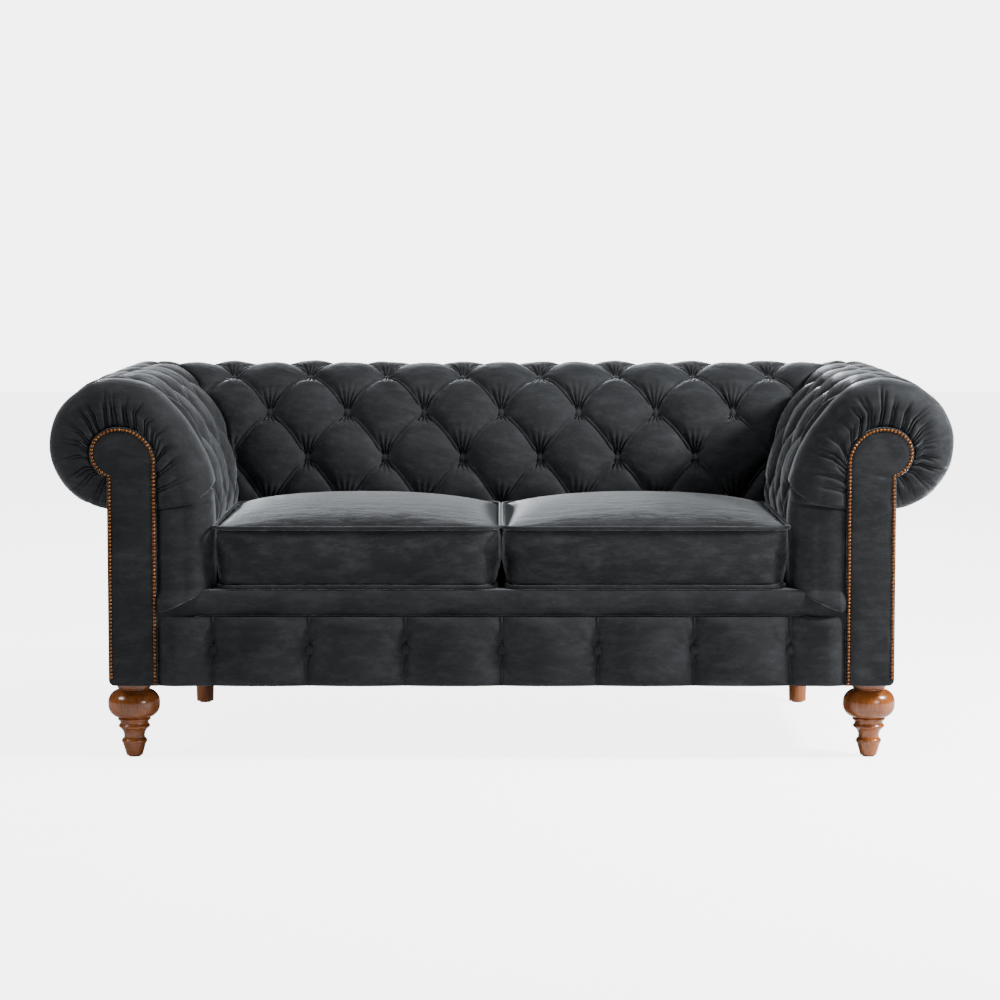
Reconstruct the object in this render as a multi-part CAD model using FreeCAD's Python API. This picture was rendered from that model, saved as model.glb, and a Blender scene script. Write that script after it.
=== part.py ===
"""Two-seat chesterfield sofa, in millimetres.

X runs along the sofa, Y from front to back and Z up.  The origin is on the floor under the middle.
"""
import FreeCAD
import Part
import math
import os
from FreeCAD import Vector

# Overall size
overall_width = 1750.0
overall_depth = 900.0
roll_top = 743.0
wall_thickness = 309.0

# Arm and back profile: a straight face, a wide sweep and the roll
roll_radius = 126.0
sweep_start = 470.0
cover_thickness = 28.0
layer_gap = 0.3

# Tufting
row_count = 4
row_first = 112.0
row_last_gap = 58.3
half_pitch = 83.0
arm_column_gap = 68.0
button_depth = 20.0
pleat_depth = 12.0
crown_rise = 6.0
tail_fall = 7.0
button_seat = 8.0
button_radius = 11.0
button_height = 9.0
least_bulge = 0.5

# Carcass
frame_inset = 124.0
post_side = 70.0
rail_thickness = 40.0
frame_bottom = 150.0
seat_rail_top = 262.0
top_rail_drop = 27.0
top_rail_height = 40.0
centre_rail_width = 28.0
centre_rail_drop = 50.0
centre_post_width = 50.0
arm_post_width = 40.0
tacking_rail_gap = 10.0
tacking_rail_height = 40.0
tacking_rail_thickness = 28.0
webbing_width = 50.0
webbing_thickness = 2.0
webbing_reach = 30.0
back_straps = 10
arm_straps = 4

# Corner blocks and their screws
block_reach = 80.0
block_height = 40.0
screw_radius = 2.5
screw_head_radius = 5.0
screw_head_height = 3.0
screw_length = 42.0
screw_seat = 20.0
screw_offset = 24.0
thread_clearance = 0.1

# Feet
front_foot_bulb_radius = 51.0
front_foot_collar_radius = 33.0
front_foot_drawn_height = 150.0
rear_foot_top_radius = 23.0
rear_foot_floor_radius = 18.5
rear_foot_gap = 36.0
glide_radius = 12.0
glide_thickness = 3.0
bolt_radius = 4.0
bolt_in_foot = 45.0
bolt_in_frame = 40.0

# Seat springs, deck and lip
spring_count = 8
spring_margin = 50.0
spring_half_width = 48.0
spring_turns = 17
wire_radius = 2.0
clip_length = 24.0
clip_width = 14.0
clip_height = 8.0
deck_rise = 73.0
deck_cloth_thickness = 3.0
lip_depth = 43.0
lip_nose = 18.0
lip_seam_rise = 21.0
lip_cover_thickness = 3.0

# Facings and nails
facing_board_thickness = 12.0
facing_pad_thickness = 10.0
facing_overlap = 18.0
facing_side_overlap = 8.0
facing_edge = 4.0
facing_bevel = 1.5
facing_corner_radius = 12.0
scroll_radius = 72.0
scroll_drop = 35.0
lobe_shift = 8.0
lobe_rise = 21.0
nail_margin = 5.0
nail_pitch = 7.2
nail_radius = 3.2
nail_rise = 3.0
nail_shank_radius = 0.8
nail_shank_length = 16.0

# Front border, outer panels and dust cover
border_pad_thickness = 10.0
border_cover_rise = 8.0
border_pleat_cover = 3.0
border_drop = 3.0
border_pleat_pitch = 188.0
border_button_place = 71.0
border_button_radius = 10.0
border_button_rise = 6.0
panel_thickness = 6.0
panel_gap = 2.5
dust_cover_thickness = 1.0
dust_cover_margin = 10.0
dust_cover_clearance = 2.0

# Rolled front end of each arm
front_roll_length = 60.0
front_roll_end = 10.0
front_roll_inset = 55.0

# Seat cushions
cushion_clearance = 1.5
cushion_front_inset = 10.0
cushion_lift = 0.5
cushion_height = 121.0
cushion_crown = 48.0
cushion_corner = 25.0
cushion_pull = 5.0
cushion_cover_thickness = 9.0
piping_radius = 4.0
zip_length = 440.0
zip_width = 16.0
zip_thickness = 1.6
zip_recess = 3.0
slider_length = 16.0
slider_width = 9.0
slider_thickness = 1.0
slider_clearance = 0.2

# Derived places
half_width = overall_width / 2
front = -overall_depth / 2
back = overall_depth / 2
seat_half = half_width - wall_thickness
seat_back = back - wall_thickness
frame_front = front + nail_rise + facing_pad_thickness + facing_board_thickness
panel_inset = frame_inset + post_side
post_inner = seat_half + frame_inset
post_outer = post_inner + post_side
back_frame_front = seat_back + frame_inset
back_frame_rear = back_frame_front + post_side
front_post_back = frame_front + post_side
front_rail_back = frame_front + rail_thickness
rear_rail_front = back_frame_rear - rail_thickness
side_rail_inner = post_outer - rail_thickness
front_foot_x = post_inner + post_side / 2
front_foot_y = frame_front + post_side / 2
rear_foot_x = post_inner - rear_foot_gap
rear_foot_y = back_frame_rear - rail_thickness / 2
webbing_face = frame_inset - webbing_thickness
facing_inner = post_inner - facing_overlap
facing_outer = post_outer + facing_side_overlap
facing_front = front + nail_rise
front_roll_front = front + front_roll_end
front_roll_back = front_roll_front + front_roll_length
arm_post_place = (front_post_back + back_frame_front) / 2
arm_last_column = seat_back - arm_column_gap
arm_front_columns = int((arm_last_column - front_roll_back) / half_pitch) - 1
border_bottom = frame_bottom - border_drop
border_button_height = border_bottom + border_button_place
centre_rail_top = seat_rail_top - centre_rail_drop
deck_height = seat_rail_top + deck_rise
tacking_rail_bottom = deck_height + tacking_rail_gap
lip_seam_height = seat_rail_top + lip_seam_rise
lip_back = frame_front + lip_depth
lip_bottom = seat_rail_top + clip_height + layer_gap
lip_half = facing_inner
spring_top = seat_rail_top + 2 * (wire_radius + thread_clearance)
deck_half = post_inner - webbing_thickness
cushion_bottom = deck_height + cushion_lift
cushion_top = cushion_bottom + cushion_height
cushion_front = front + cushion_front_inset
cushion_back = seat_back - cushion_clearance
cushion_inner = cushion_clearance
cushion_outer = seat_half - cushion_clearance

# The profile's two arcs, in the distance from the inner face and the height
roll_out = wall_thickness - roll_radius
roll_height = roll_top - roll_radius
top_rail_bottom = roll_height - top_rail_drop
top_rail_top = top_rail_bottom + top_rail_height
scroll_height = roll_height - scroll_drop
sweep_to_roll = roll_height - sweep_start
sweep_radius = (roll_out ** 2 + sweep_to_roll ** 2 - roll_radius ** 2) / (2 * (roll_out - roll_radius))
sweep_angle = math.atan2(sweep_to_roll, sweep_radius - roll_out)
face_length = sweep_start - deck_height
sweep_length = sweep_radius * sweep_angle
roll_start = face_length + sweep_length
roll_crest = roll_start + roll_radius * (math.pi / 2 - sweep_angle)
row_step = (roll_crest - row_last_gap - row_first) / (row_count - 1)
SIDES = (("left", -1), ("right", 1))


def end_angle(inset):
    """Angle round the roll where the profile, moved in by inset, meets the outer panel."""
    return 2 * math.pi - math.acos((roll_out - panel_inset) / (roll_radius - inset))


roll_end = roll_start + roll_radius * (end_angle(0.0) - sweep_angle)
panel_top = roll_height + roll_radius * math.sin(end_angle(0.0)) - panel_gap


def profile_point(along, rise):
    """Distance from the inner face and height, at a length along the profile, raised off it."""
    if along <= face_length:
        return -rise, deck_height + along
    if along <= roll_start:
        angle = (along - face_length) / sweep_radius
        reach = sweep_radius + rise
        return sweep_radius - reach * math.cos(angle), sweep_start + reach * math.sin(angle)
    angle = sweep_angle + (along - roll_start) / roll_radius
    reach = roll_radius + rise
    return roll_out - reach * math.cos(angle), roll_height + reach * math.sin(angle)


def roll_point(inset, angle):
    """Point at an angle round the roll, moved in by inset."""
    reach = roll_radius - inset
    return roll_out - reach * math.cos(angle), roll_height + reach * math.sin(angle)


def sweep_point(inset, angle):
    """Point at an angle round the sweep, moved in by inset."""
    reach = sweep_radius - inset
    return sweep_radius - reach * math.cos(angle), sweep_start + reach * math.sin(angle)


def box(x0, x1, y0, y1, z0, z1):
    """A block between two corners given as ranges."""
    return Part.makeBox(x1 - x0, y1 - y0, z1 - z0, Vector(x0, y0, z0))


def side_box(side, x0, x1, y0, y1, z0, z1):
    """A block on one side of the sofa, its X range measured from the middle."""
    ends = sorted((side * x0, side * x1))
    return box(ends[0], ends[1], y0, y1, z0, z1)


def line(start, end):
    """A straight edge."""
    return Part.LineSegment(start, end).toShape()


def arc(start, middle, end):
    """A round edge through three points."""
    return Part.Arc(start, middle, end).toShape()


def prism(wire, direction):
    """The solid that a closed flat wire sweeps out along a direction."""
    return Part.Face(wire).extrude(direction)


def loft(wires):
    """A ruled solid through closed sections."""
    return Part.makeLoft(wires, True, True)


def cylinder(radius, length, start, direction):
    """A round bar from a point along a direction."""
    return Part.makeCylinder(radius, length, start, direction)


def arm_place(side):
    """Gives the place of a profile point on an arm, at a distance along it."""
    def place(point, along):
        return Vector(side * (seat_half + point[0]), along, point[1])
    return place


def back_place(point, along):
    """Place of a profile point on the back, at a distance along it."""
    return Vector(along, seat_back + point[0], point[1])


def inner_edges(place, along, inset, panel_side, foot):
    """Edges that run along the profile moved in by inset, from the panel round to the foot."""
    last = end_angle(inset)
    middle = (last + sweep_angle) / 2
    marks = (last, (last + middle) / 2, middle, (middle + sweep_angle) / 2, sweep_angle)
    roll = [place(roll_point(inset, mark), along) for mark in marks]
    sweep_middle = place(sweep_point(inset, sweep_angle / 2), along)
    sweep_foot = place((inset, sweep_start), along)
    return [
        line(panel_side, roll[0]),
        arc(roll[0], roll[1], roll[2]),
        arc(roll[2], roll[3], roll[4]),
        arc(roll[4], sweep_middle, sweep_foot),
        line(sweep_foot, foot),
    ]


def tuft_marks(column, depth):
    """Knots and crests of one quilted section.

    column is 0 where the first and third rows have a button, and 1 where the second and fourth have one.
    Each knot is a length along the profile and a rise, and so is the crest after it.
    depth is 1 for full tufting and 0 for a plain face.
    """
    rows = [row_first + row_step * number for number in range(row_count)]
    pinch = (pleat_depth + (button_depth - pleat_depth) * abs(2 * column - 1)) * depth
    low = rows[0] + (rows[1] - button_seat - rows[0]) * column
    middle = rows[2] - button_seat - (rows[2] - rows[1] - 2 * button_seat) * column
    high = rows[2] + button_seat + (rows[3] - rows[2] - button_seat) * column
    over = (roll_end - roll_crest) / 3
    knots = [
        (0.0, -pleat_depth / 2 * (1 - column) * depth),
        (low, -pinch),
        (middle, -pinch),
        (high, -pinch),
        (roll_crest, -pleat_depth / 2 * column * depth),
        (roll_crest + over, -pleat_depth / 3 * column * depth),
        (roll_crest + 2 * over, -pleat_depth / 6 * column * depth),
        (roll_end, 0.0),
    ]
    crests = [
        -(pleat_depth * (1 - column) + tail_fall * column) * depth,
        (crown_rise * (1 - column) - button_depth * column ** 2) * depth,
        (crown_rise * column - button_depth * (1 - column) ** 2) * depth,
        (crown_rise / 2 * (1 - column) - pleat_depth * column) * depth,
        -pleat_depth / 2 * column * depth,
        -pleat_depth / 3 * column * depth,
        -pleat_depth / 6 * column * depth,
    ]
    return knots, crests


def quilted_section(place, along, column, depth):
    """Closed section of a tufted cover: the quilted face, the end at the panel and the plain inside."""
    knots, crests = tuft_marks(column, depth)
    points = [place(profile_point(*knot), along) for knot in knots]
    edges = []
    for number, crest in enumerate(crests):
        halfway = (knots[number][0] + knots[number + 1][0]) / 2
        top = place(profile_point(halfway, crest + least_bulge), along)
        edges.append(arc(points[number], top, points[number + 1]))
    foot = place((cover_thickness, deck_height), along)
    edges += inner_edges(place, along, cover_thickness, points[-1], foot)
    edges.append(line(foot, points[0]))
    return Part.Wire(edges)


def filled_section(place, along, inset):
    """Closed section between the profile moved in by inset and the carcass."""
    foot = place((inset, deck_height), along)
    panel_side = place((panel_inset, top_rail_top), along)
    rail_corner = place((webbing_face, top_rail_top), along)
    carcass_foot = place((webbing_face, deck_height), along)
    edges = inner_edges(place, along, inset, panel_side, foot)
    edges.append(line(foot, carcass_foot))
    edges.append(line(carcass_foot, rail_corner))
    edges.append(line(rail_corner, panel_side))
    return Part.Wire(edges)


def mitred_arm(shape, side):
    """The part of an arm's shape in front of the mitre with the back."""
    reach = 2 * wall_thickness
    corners = [
        Vector(side * (seat_half - reach), seat_back - reach, 0),
        Vector(side * (seat_half + reach), seat_back + reach, 0),
        Vector(side * (seat_half - reach), seat_back + reach, 0),
    ]
    wedge = prism(Part.makePolygon(corners + corners[:1]), Vector(0, 0, 2 * roll_top))
    return shape.cut(wedge)


def mitred_back(shape):
    """The part of the back's shape between the two mitres."""
    for _, side in SIDES:
        reach = 2 * wall_thickness
        corners = [
            Vector(side * (seat_half - reach), seat_back - reach, 0),
            Vector(side * (seat_half + reach), seat_back + reach, 0),
            Vector(side * (seat_half + reach), seat_back - reach, 0),
        ]
        wedge = prism(Part.makePolygon(corners + corners[:1]), Vector(0, 0, 2 * roll_top))
        shape = shape.cut(wedge)
    return shape


def arm_columns():
    """Places along an arm of its half columns, from the front, each with its column value."""
    first = arm_last_column - half_pitch * arm_front_columns
    count = math.ceil((back - first) / half_pitch) + 1
    marks = []
    for number in range(2 * count):
        phase = number % 4
        column = phase / 2 if phase <= 2 else 0.5
        marks.append((first + half_pitch / 2 * number, column))
    return marks


def back_columns():
    """Places along the back of its half columns, from the left, each with its column value."""
    count = math.ceil(half_width / half_pitch)
    marks = []
    for number in range(-2 * count, 2 * count + 1):
        phase = number % 4
        column = phase / 2 if phase <= 2 else 0.5
        marks.append((half_pitch / 2 * number, column))
    return marks


def arm_cover(side):
    """Tufted velvet over its wadding, on the inside and the roll of one arm."""
    place = arm_place(side)
    marks = arm_columns()
    plain_end = marks[0][0] - half_pitch
    sections = [
        quilted_section(place, front_roll_back, 0.0, 0.0),
        quilted_section(place, plain_end, 0.0, 0.0),
    ]
    sections += [quilted_section(place, along, column, 1.0) for along, column in marks]
    return mitred_arm(loft(sections), side)


def back_cover():
    """Tufted velvet over its wadding, on the inside and the roll of the back."""
    sections = [quilted_section(back_place, along, column, 1.0) for along, column in back_columns()]
    return mitred_back(loft(sections))


def arm_foam(side):
    """Foam of one arm, from the back of the front roll to the mitre, with a slot for the top rail."""
    place = arm_place(side)
    inset = cover_thickness + layer_gap
    section = filled_section(place, front_roll_back, inset)
    return mitred_arm(prism(section, Vector(0, back - front_roll_back, 0)), side)


def back_foam():
    """Foam of the back between the two mitres, with a slot for the top rail."""
    section = filled_section(back_place, -half_width, cover_thickness + layer_gap)
    return mitred_back(prism(section, Vector(overall_width, 0, 0)))


def arm_front_roll(side):
    """Stuffed front end of one arm, rounded down to its facing."""
    place = arm_place(side)
    steps = 4
    sections = []
    for number in range(steps + 1):
        turn = math.pi / 2 * number / steps
        along = front_roll_back - front_roll_length * math.sin(turn)
        sections.append(filled_section(place, along, front_roll_inset * (1 - math.cos(turn))))
    pocket = facing_prism(side, -layer_gap, front - facing_pad_thickness, frame_front)
    return loft(sections).cut(pocket)


def facing_wire(side, margin, along):
    """Outline of an arm's facing, moved in by margin: the post, the scroll and its lobe."""
    inner = facing_inner + margin
    outer = facing_outer - margin
    bottom = border_bottom + margin
    scroll = scroll_radius - margin
    lobe = scroll - math.hypot(lobe_shift, lobe_rise)
    centre = facing_inner + scroll_radius
    lobe_centre = centre + lobe_shift
    lobe_height = scroll_height + lobe_rise
    meeting = math.atan2(lobe_rise, lobe_shift)
    notch = -math.acos((outer - lobe_centre) / lobe)
    corner = facing_corner_radius

    def point(x, z):
        return Vector(side * x, along, z)

    def scroll_point(angle):
        return point(centre + scroll * math.cos(angle), scroll_height + scroll * math.sin(angle))

    def lobe_point(angle):
        return point(lobe_centre + lobe * math.cos(angle), lobe_height + lobe * math.sin(angle))

    foot = point(inner, bottom)
    slant = corner * (1 - math.sqrt(0.5))
    corner_start = point(outer, bottom + corner)
    corner_middle = point(outer - slant, bottom + slant)
    corner_end = point(outer - corner, bottom)
    return Part.Wire([
        line(foot, scroll_point(math.pi)),
        arc(scroll_point(math.pi), scroll_point((math.pi + meeting) / 2), scroll_point(meeting)),
        arc(lobe_point(meeting), lobe_point((meeting + notch) / 2), lobe_point(notch)),
        line(lobe_point(notch), corner_start),
        arc(corner_start, corner_middle, corner_end),
        line(corner_end, foot),
    ])


def facing_prism(side, margin, start, end):
    """A facing's outline, moved in by margin, between two places along Y."""
    return prism(facing_wire(side, margin, start), Vector(0, end - start, 0))


def facing_board(side):
    """Plywood board of one facing, screwed to the front of the post."""
    return facing_prism(side, facing_edge, frame_front - facing_board_thickness, frame_front)


def facing_cover(side):
    """Padded velvet cover of one facing, wrapped round the edge of its board."""
    shoulder = facing_front + facing_edge
    body = facing_prism(side, 0.0, shoulder, frame_front)
    outlines = [facing_wire(side, 0.0, shoulder), facing_wire(side, facing_bevel, facing_front)]
    board_front = frame_front - facing_board_thickness
    board_space = facing_prism(side, facing_edge, board_front, frame_front)
    return body.fuse(loft(outlines)).removeSplitter().cut(board_space)


def nail():
    """One dome nail at the origin, its head towards the front and its shank towards the back."""
    dome_radius = (nail_radius ** 2 + nail_rise ** 2) / (2 * nail_rise)
    half_turn = math.asin(nail_radius / dome_radius) / 2
    shoulder = Vector(
        dome_radius * math.sin(half_turn),
        dome_radius * (1 - math.cos(half_turn)) - nail_rise,
        0,
    )
    crest = Vector(0, -nail_rise, 0)
    rim = Vector(nail_radius, 0, 0)
    corners = [
        rim,
        Vector(nail_shank_radius, 0, 0),
        Vector(nail_shank_radius, nail_shank_length, 0),
        Vector(0, nail_shank_length, 0),
        crest,
    ]
    edges = [arc(crest, shoulder, rim)]
    edges += [line(corners[number], corners[number + 1]) for number in range(4)]
    return Part.Face(Part.Wire(edges)).revolve(Vector(0, 0, 0), Vector(0, 1, 0), 360)


def facing_nails(side):
    """Dome nails side by side round a facing, open along its bottom edge."""
    path = Part.Wire(facing_wire(side, nail_margin, facing_front).Edges[:4])
    count = int(path.Length / nail_pitch)
    one = nail()
    return [one.translated(seat) for seat in path.discretize(Number=count + 1)]


def button(seat, outward, radius, height):
    """A covered button: a flat disc under a dome, standing on its seat."""
    rim = height / 3
    dome = height - rim
    dome_radius = (radius ** 2 + dome ** 2) / (2 * dome)
    half_turn = math.asin(radius / dome_radius) / 2
    rim_edge = Vector(radius, 0, rim)
    shoulder = Vector(dome_radius * math.sin(half_turn), 0, height - dome_radius * (1 - math.cos(half_turn)))
    crest = Vector(0, 0, height)
    edges = [
        line(Vector(0, 0, 0), Vector(radius, 0, 0)),
        line(Vector(radius, 0, 0), rim_edge),
        arc(rim_edge, shoulder, crest),
        line(crest, Vector(0, 0, 0)),
    ]
    shape = Part.Face(Part.Wire(edges)).revolve(Vector(0, 0, 0), Vector(0, 0, 1), 360)
    shape.Placement = FreeCAD.Placement(seat, FreeCAD.Rotation(Vector(0, 0, 1), outward))
    return shape


def tuft_buttons(place, columns, limit):
    """Buttons at the crossings of the pleats that lie inside the mitre."""
    shapes = []
    for along, column in columns:
        rows = {0.0: (0, 2), 1.0: (1, 3)}.get(column, ())
        for row in rows:
            height = row_first + row_step * row
            if limit(along) - profile_point(height, 0.0)[0] > button_radius:
                continue
            seat = place(profile_point(height, -button_depth), along)
            outward = place(profile_point(height, 0.0), along) - seat
            shapes.append(button(seat, outward, button_radius, button_height))
    return shapes


def arm_buttons(side):
    """Buttons of one arm."""
    return tuft_buttons(arm_place(side), arm_columns(), lambda along: along - seat_back + 2 * button_radius)


def back_buttons():
    """Buttons of the back."""
    return tuft_buttons(back_place, back_columns(), lambda along: abs(along) - seat_half + 2 * button_radius)


def screw(seat, outward):
    """A countersunk screw driven in from its seat: shank and head."""
    shank = cylinder(screw_radius, screw_length, seat, outward * -1)
    head = cylinder(screw_head_radius, screw_head_height, seat, outward)
    return shank.fuse(head)


def screw_bore(seat, outward):
    """Room for a screw: its hole and the counterbore out to the open."""
    shank = cylinder(screw_radius + thread_clearance, screw_length + thread_clearance, seat, outward * -1)
    head = cylinder(screw_head_radius + thread_clearance, block_reach, seat, outward)
    return shank.fuse(head)


def block_screws():
    """Seats and directions of the screws through the corner blocks, two in each."""
    places = []
    height = frame_bottom + block_height / 2
    for _, side in SIDES:
        for rail, inward in ((front_rail_back, 1), (rear_rail_front, -1)):
            places.append((
                Vector(side * (post_inner - screw_offset), rail + inward * screw_seat, height),
                Vector(0, inward, 0),
            ))
            places.append((
                Vector(
                    side * (side_rail_inner - screw_seat),
                    block_side_end(rail, inward) - inward * screw_offset,
                    height,
                ),
                Vector(-side, 0, 0),
            ))
    return places


def block_side_end(rail, inward):
    """Where a corner block ends along the side rail."""
    return rail + inward * (block_reach + side_rail_inner - post_inner)


def corner_blocks():
    """Notched blocks glued and screwed into the four corners of the seat frame."""
    blocks = []
    for _, side in SIDES:
        for rail, post, inward in (
            (front_rail_back, front_post_back, 1),
            (rear_rail_front, back_frame_front, -1),
        ):
            corners = [
                Vector(side * (post_inner - block_reach), rail, frame_bottom),
                Vector(side * post_inner, rail, frame_bottom),
                Vector(side * post_inner, post, frame_bottom),
                Vector(side * side_rail_inner, post, frame_bottom),
                Vector(side * side_rail_inner, block_side_end(rail, inward), frame_bottom),
            ]
            blocks.append(prism(Part.makePolygon(corners + corners[:1]), Vector(0, 0, block_height)))
    return bored(blocks)


def bored(shapes):
    """The shapes with the holes of the corner screws in them."""
    holes = Part.makeCompound([screw_bore(seat, outward) for seat, outward in block_screws()])
    return [shape.cut(holes) for shape in shapes]


def foot_places():
    """Centres of the four feet, with the radius of each at the floor."""
    places = []
    for _, side in SIDES:
        places.append((side * front_foot_x, front_foot_y))
        places.append((side * rear_foot_x, rear_foot_y))
    return places


def bolted(shapes):
    """The shapes with the holes of the feet's hanger bolts in them."""
    holes = Part.makeCompound([
        cylinder(
            bolt_radius + thread_clearance,
            bolt_in_foot + bolt_in_frame + 2 * thread_clearance,
            Vector(x, y, frame_bottom - bolt_in_foot - thread_clearance),
            Vector(0, 0, 1),
        )
        for x, y in foot_places()
    ])
    return [shape.cut(holes) for shape in shapes]


def front_posts():
    """Posts behind the facings, standing on the front feet."""
    return bolted([
        side_box(side, post_inner, post_outer, frame_front, front_post_back, frame_bottom, top_rail_bottom)
        for _, side in SIDES
    ])


def rear_posts():
    """Posts in the rear corners."""
    return [
        side_box(
            side, post_inner, post_outer,
            back_frame_front, back_frame_rear,
            frame_bottom, top_rail_bottom,
        )
        for _, side in SIDES
    ]


def front_seat_rail():
    """Rail under the front lip, between the front posts."""
    rail = box(-post_inner, post_inner, frame_front, front_rail_back, frame_bottom, seat_rail_top)
    return bored([rail])


def rear_seat_rail():
    """Rail between the rear posts, standing on the rear feet."""
    rail = box(-post_inner, post_inner, rear_rail_front, back_frame_rear, frame_bottom, seat_rail_top)
    return bolted(bored([rail]))


def side_seat_rails():
    """Rails between the front and rear posts."""
    return bored([
        side_box(
            side, side_rail_inner, post_outer,
            front_post_back, back_frame_front,
            frame_bottom, seat_rail_top,
        )
        for _, side in SIDES
    ])


def centre_seat_rail():
    """Brace between the front and rear rails, low enough to leave the springs room."""
    half = centre_rail_width / 2
    return [box(-half, half, front_rail_back, rear_rail_front, frame_bottom, centre_rail_top)]


def arm_top_rails():
    """Rails along the top of the arms, on the front posts."""
    return [
        side_box(side, post_inner, post_outer, frame_front, back_frame_front, top_rail_bottom, top_rail_top)
        for _, side in SIDES
    ]


def back_top_rail():
    """Rail along the top of the back, on the rear posts."""
    return [box(-post_outer, post_outer, back_frame_front, back_frame_rear, top_rail_bottom, top_rail_top)]


def arm_centre_posts():
    """Short posts between the side rail and the top rail of each arm."""
    start = arm_post_place - arm_post_width / 2
    end = arm_post_place + arm_post_width / 2
    return [
        side_box(side, post_inner, post_outer, start, end, seat_rail_top, top_rail_bottom)
        for _, side in SIDES
    ]


def back_centre_post():
    """Post in the middle of the back."""
    half = centre_post_width / 2
    return [box(-half, half, back_frame_front, back_frame_rear, seat_rail_top, top_rail_bottom)]


def arm_tacking_rails():
    """Slats between the posts of each arm that the cover and webbing are tacked to."""
    top = tacking_rail_bottom + tacking_rail_height
    outer = post_inner + tacking_rail_thickness
    slats = []
    for _, side in SIDES:
        for start, end in (
            (front_post_back, arm_post_place - arm_post_width / 2),
            (arm_post_place + arm_post_width / 2, back_frame_front),
        ):
            slats.append(side_box(side, post_inner, outer, start, end, tacking_rail_bottom, top))
    return slats


def back_tacking_rails():
    """Slats between the posts of the back that the cover and webbing are tacked to."""
    top = tacking_rail_bottom + tacking_rail_height
    rear = back_frame_front + tacking_rail_thickness
    half = centre_post_width / 2
    return [
        side_box(side, half, post_inner, back_frame_front, rear, tacking_rail_bottom, top)
        for _, side in SIDES
    ]


def even_places(start, end, count):
    """Middles of equal shares of a length."""
    share = (end - start) / count
    return [start + share * (number + 0.5) for number in range(count)]


def back_webbing():
    """Upright straps from the tacking rails to the top rail of the back."""
    bottom = tacking_rail_bottom + tacking_rail_height - webbing_reach
    half = webbing_width / 2
    return [
        box(x - half, x + half, back_frame_front - webbing_thickness, back_frame_front,
            bottom, top_rail_bottom + webbing_reach)
        for x in even_places(-post_inner, post_inner, back_straps)
    ]


def arm_webbing():
    """Upright straps from the tacking rails to the top rail of each arm."""
    bottom = tacking_rail_bottom + tacking_rail_height - webbing_reach
    half = webbing_width / 2
    inner = post_inner - webbing_thickness
    return [
        side_box(side, inner, post_inner, y - half, y + half, bottom, top_rail_bottom + webbing_reach)
        for _, side in SIDES
        for y in even_places(front_post_back, back_frame_front, arm_straps)
    ]


def front_foot_outline():
    """Half outline of a turned front foot, from the floor side to the frame, at its drawn height.

    Each step is an edge to a radius and height, by way of a middle point where it is round.
    """
    bulb = front_foot_bulb_radius
    collar = front_foot_collar_radius
    return (16.0, glide_thickness), (
        (None, (23.0, 27.0)),
        ((25.2, 31.5), (23.0, 36.0)),
        (None, (20.8, 38.0)),
        ((22.2, 50.0), (30.0, 58.5)),
        ((31.0, 61.0), (30.0, 63.5)),
        ((27.9, 67.5), (29.5, 72.0)),
        ((32.4, 75.0), (30.5, 78.0)),
        ((bulb - 5.0, 88.0), (bulb, 106.0)),
        ((bulb - 5.0, 124.0), (collar, 133.0)),
        ((collar - 2.0, 135.0), (collar - 1.0, 137.0)),
        (None, (collar, 138.0)),
        (None, (collar, front_foot_drawn_height)),
    )


def front_feet():
    """Turned feet under the front posts."""
    start, steps = front_foot_outline()
    stretch = (frame_bottom - glide_thickness) / (front_foot_drawn_height - glide_thickness)

    def point(radius, height):
        return Vector(radius, 0, glide_thickness + (height - glide_thickness) * stretch)

    here = point(*start)
    edges = [line(Vector(0, 0, here.z), here)]
    for middle, end in steps:
        there = point(*end)
        if middle is None:
            edges.append(line(here, there))
        else:
            edges.append(arc(here, point(*middle), there))
        here = there
    edges.append(line(here, Vector(0, 0, here.z)))
    edges.append(line(Vector(0, 0, here.z), Vector(0, 0, glide_thickness)))
    foot = Part.Face(Part.Wire(edges)).revolve(Vector(0, 0, 0), Vector(0, 0, 1), 360)
    return bolted([
        foot.translated(Vector(side * front_foot_x, front_foot_y, 0))
        for _, side in SIDES
    ])


def rear_feet():
    """Plain tapered feet under the rear rail."""
    height = frame_bottom - glide_thickness
    return bolted([
        Part.makeCone(
            rear_foot_floor_radius,
            rear_foot_top_radius,
            height,
            Vector(side * rear_foot_x, rear_foot_y, glide_thickness),
        )
        for _, side in SIDES
    ])


def foot_glides():
    """Round glides that the feet stand on."""
    return [
        cylinder(glide_radius, glide_thickness, Vector(x, y, 0), Vector(0, 0, 1))
        for x, y in foot_places()
    ]


def hanger_bolts():
    """Bolts that hold the feet to the frame."""
    length = bolt_in_foot + bolt_in_frame
    return [
        cylinder(bolt_radius, length, Vector(x, y, frame_bottom - bolt_in_foot), Vector(0, 0, 1))
        for x, y in foot_places()
    ]


def spring_places():
    """Middles of the seat springs along the sofa."""
    reach = post_inner - spring_margin
    return even_places(-reach, reach, spring_count)


def spring_path():
    """Line of a wavy seat spring in the middle of the sofa, from the front rail to the rear rail."""
    height = seat_rail_top + wire_radius + thread_clearance
    start = frame_front + rail_thickness / 2
    end = back_frame_rear - rail_thickness / 2
    pitch = (end - start) / spring_turns
    bend = pitch / 2
    reach = spring_half_width - bend
    edges = []
    side = 1
    here = Vector(-reach, start, height)
    for number in range(spring_turns):
        turn = Vector(side * reach, here.y, height)
        edges.append(line(here, turn))
        there = Vector(turn.x, here.y + pitch, height)
        edges.append(arc(turn, Vector(turn.x + side * bend, here.y + bend, height), there))
        here = there
        side = -side
    edges.append(line(here, Vector(side * reach, here.y, height)))
    return Part.Wire(edges)


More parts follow.
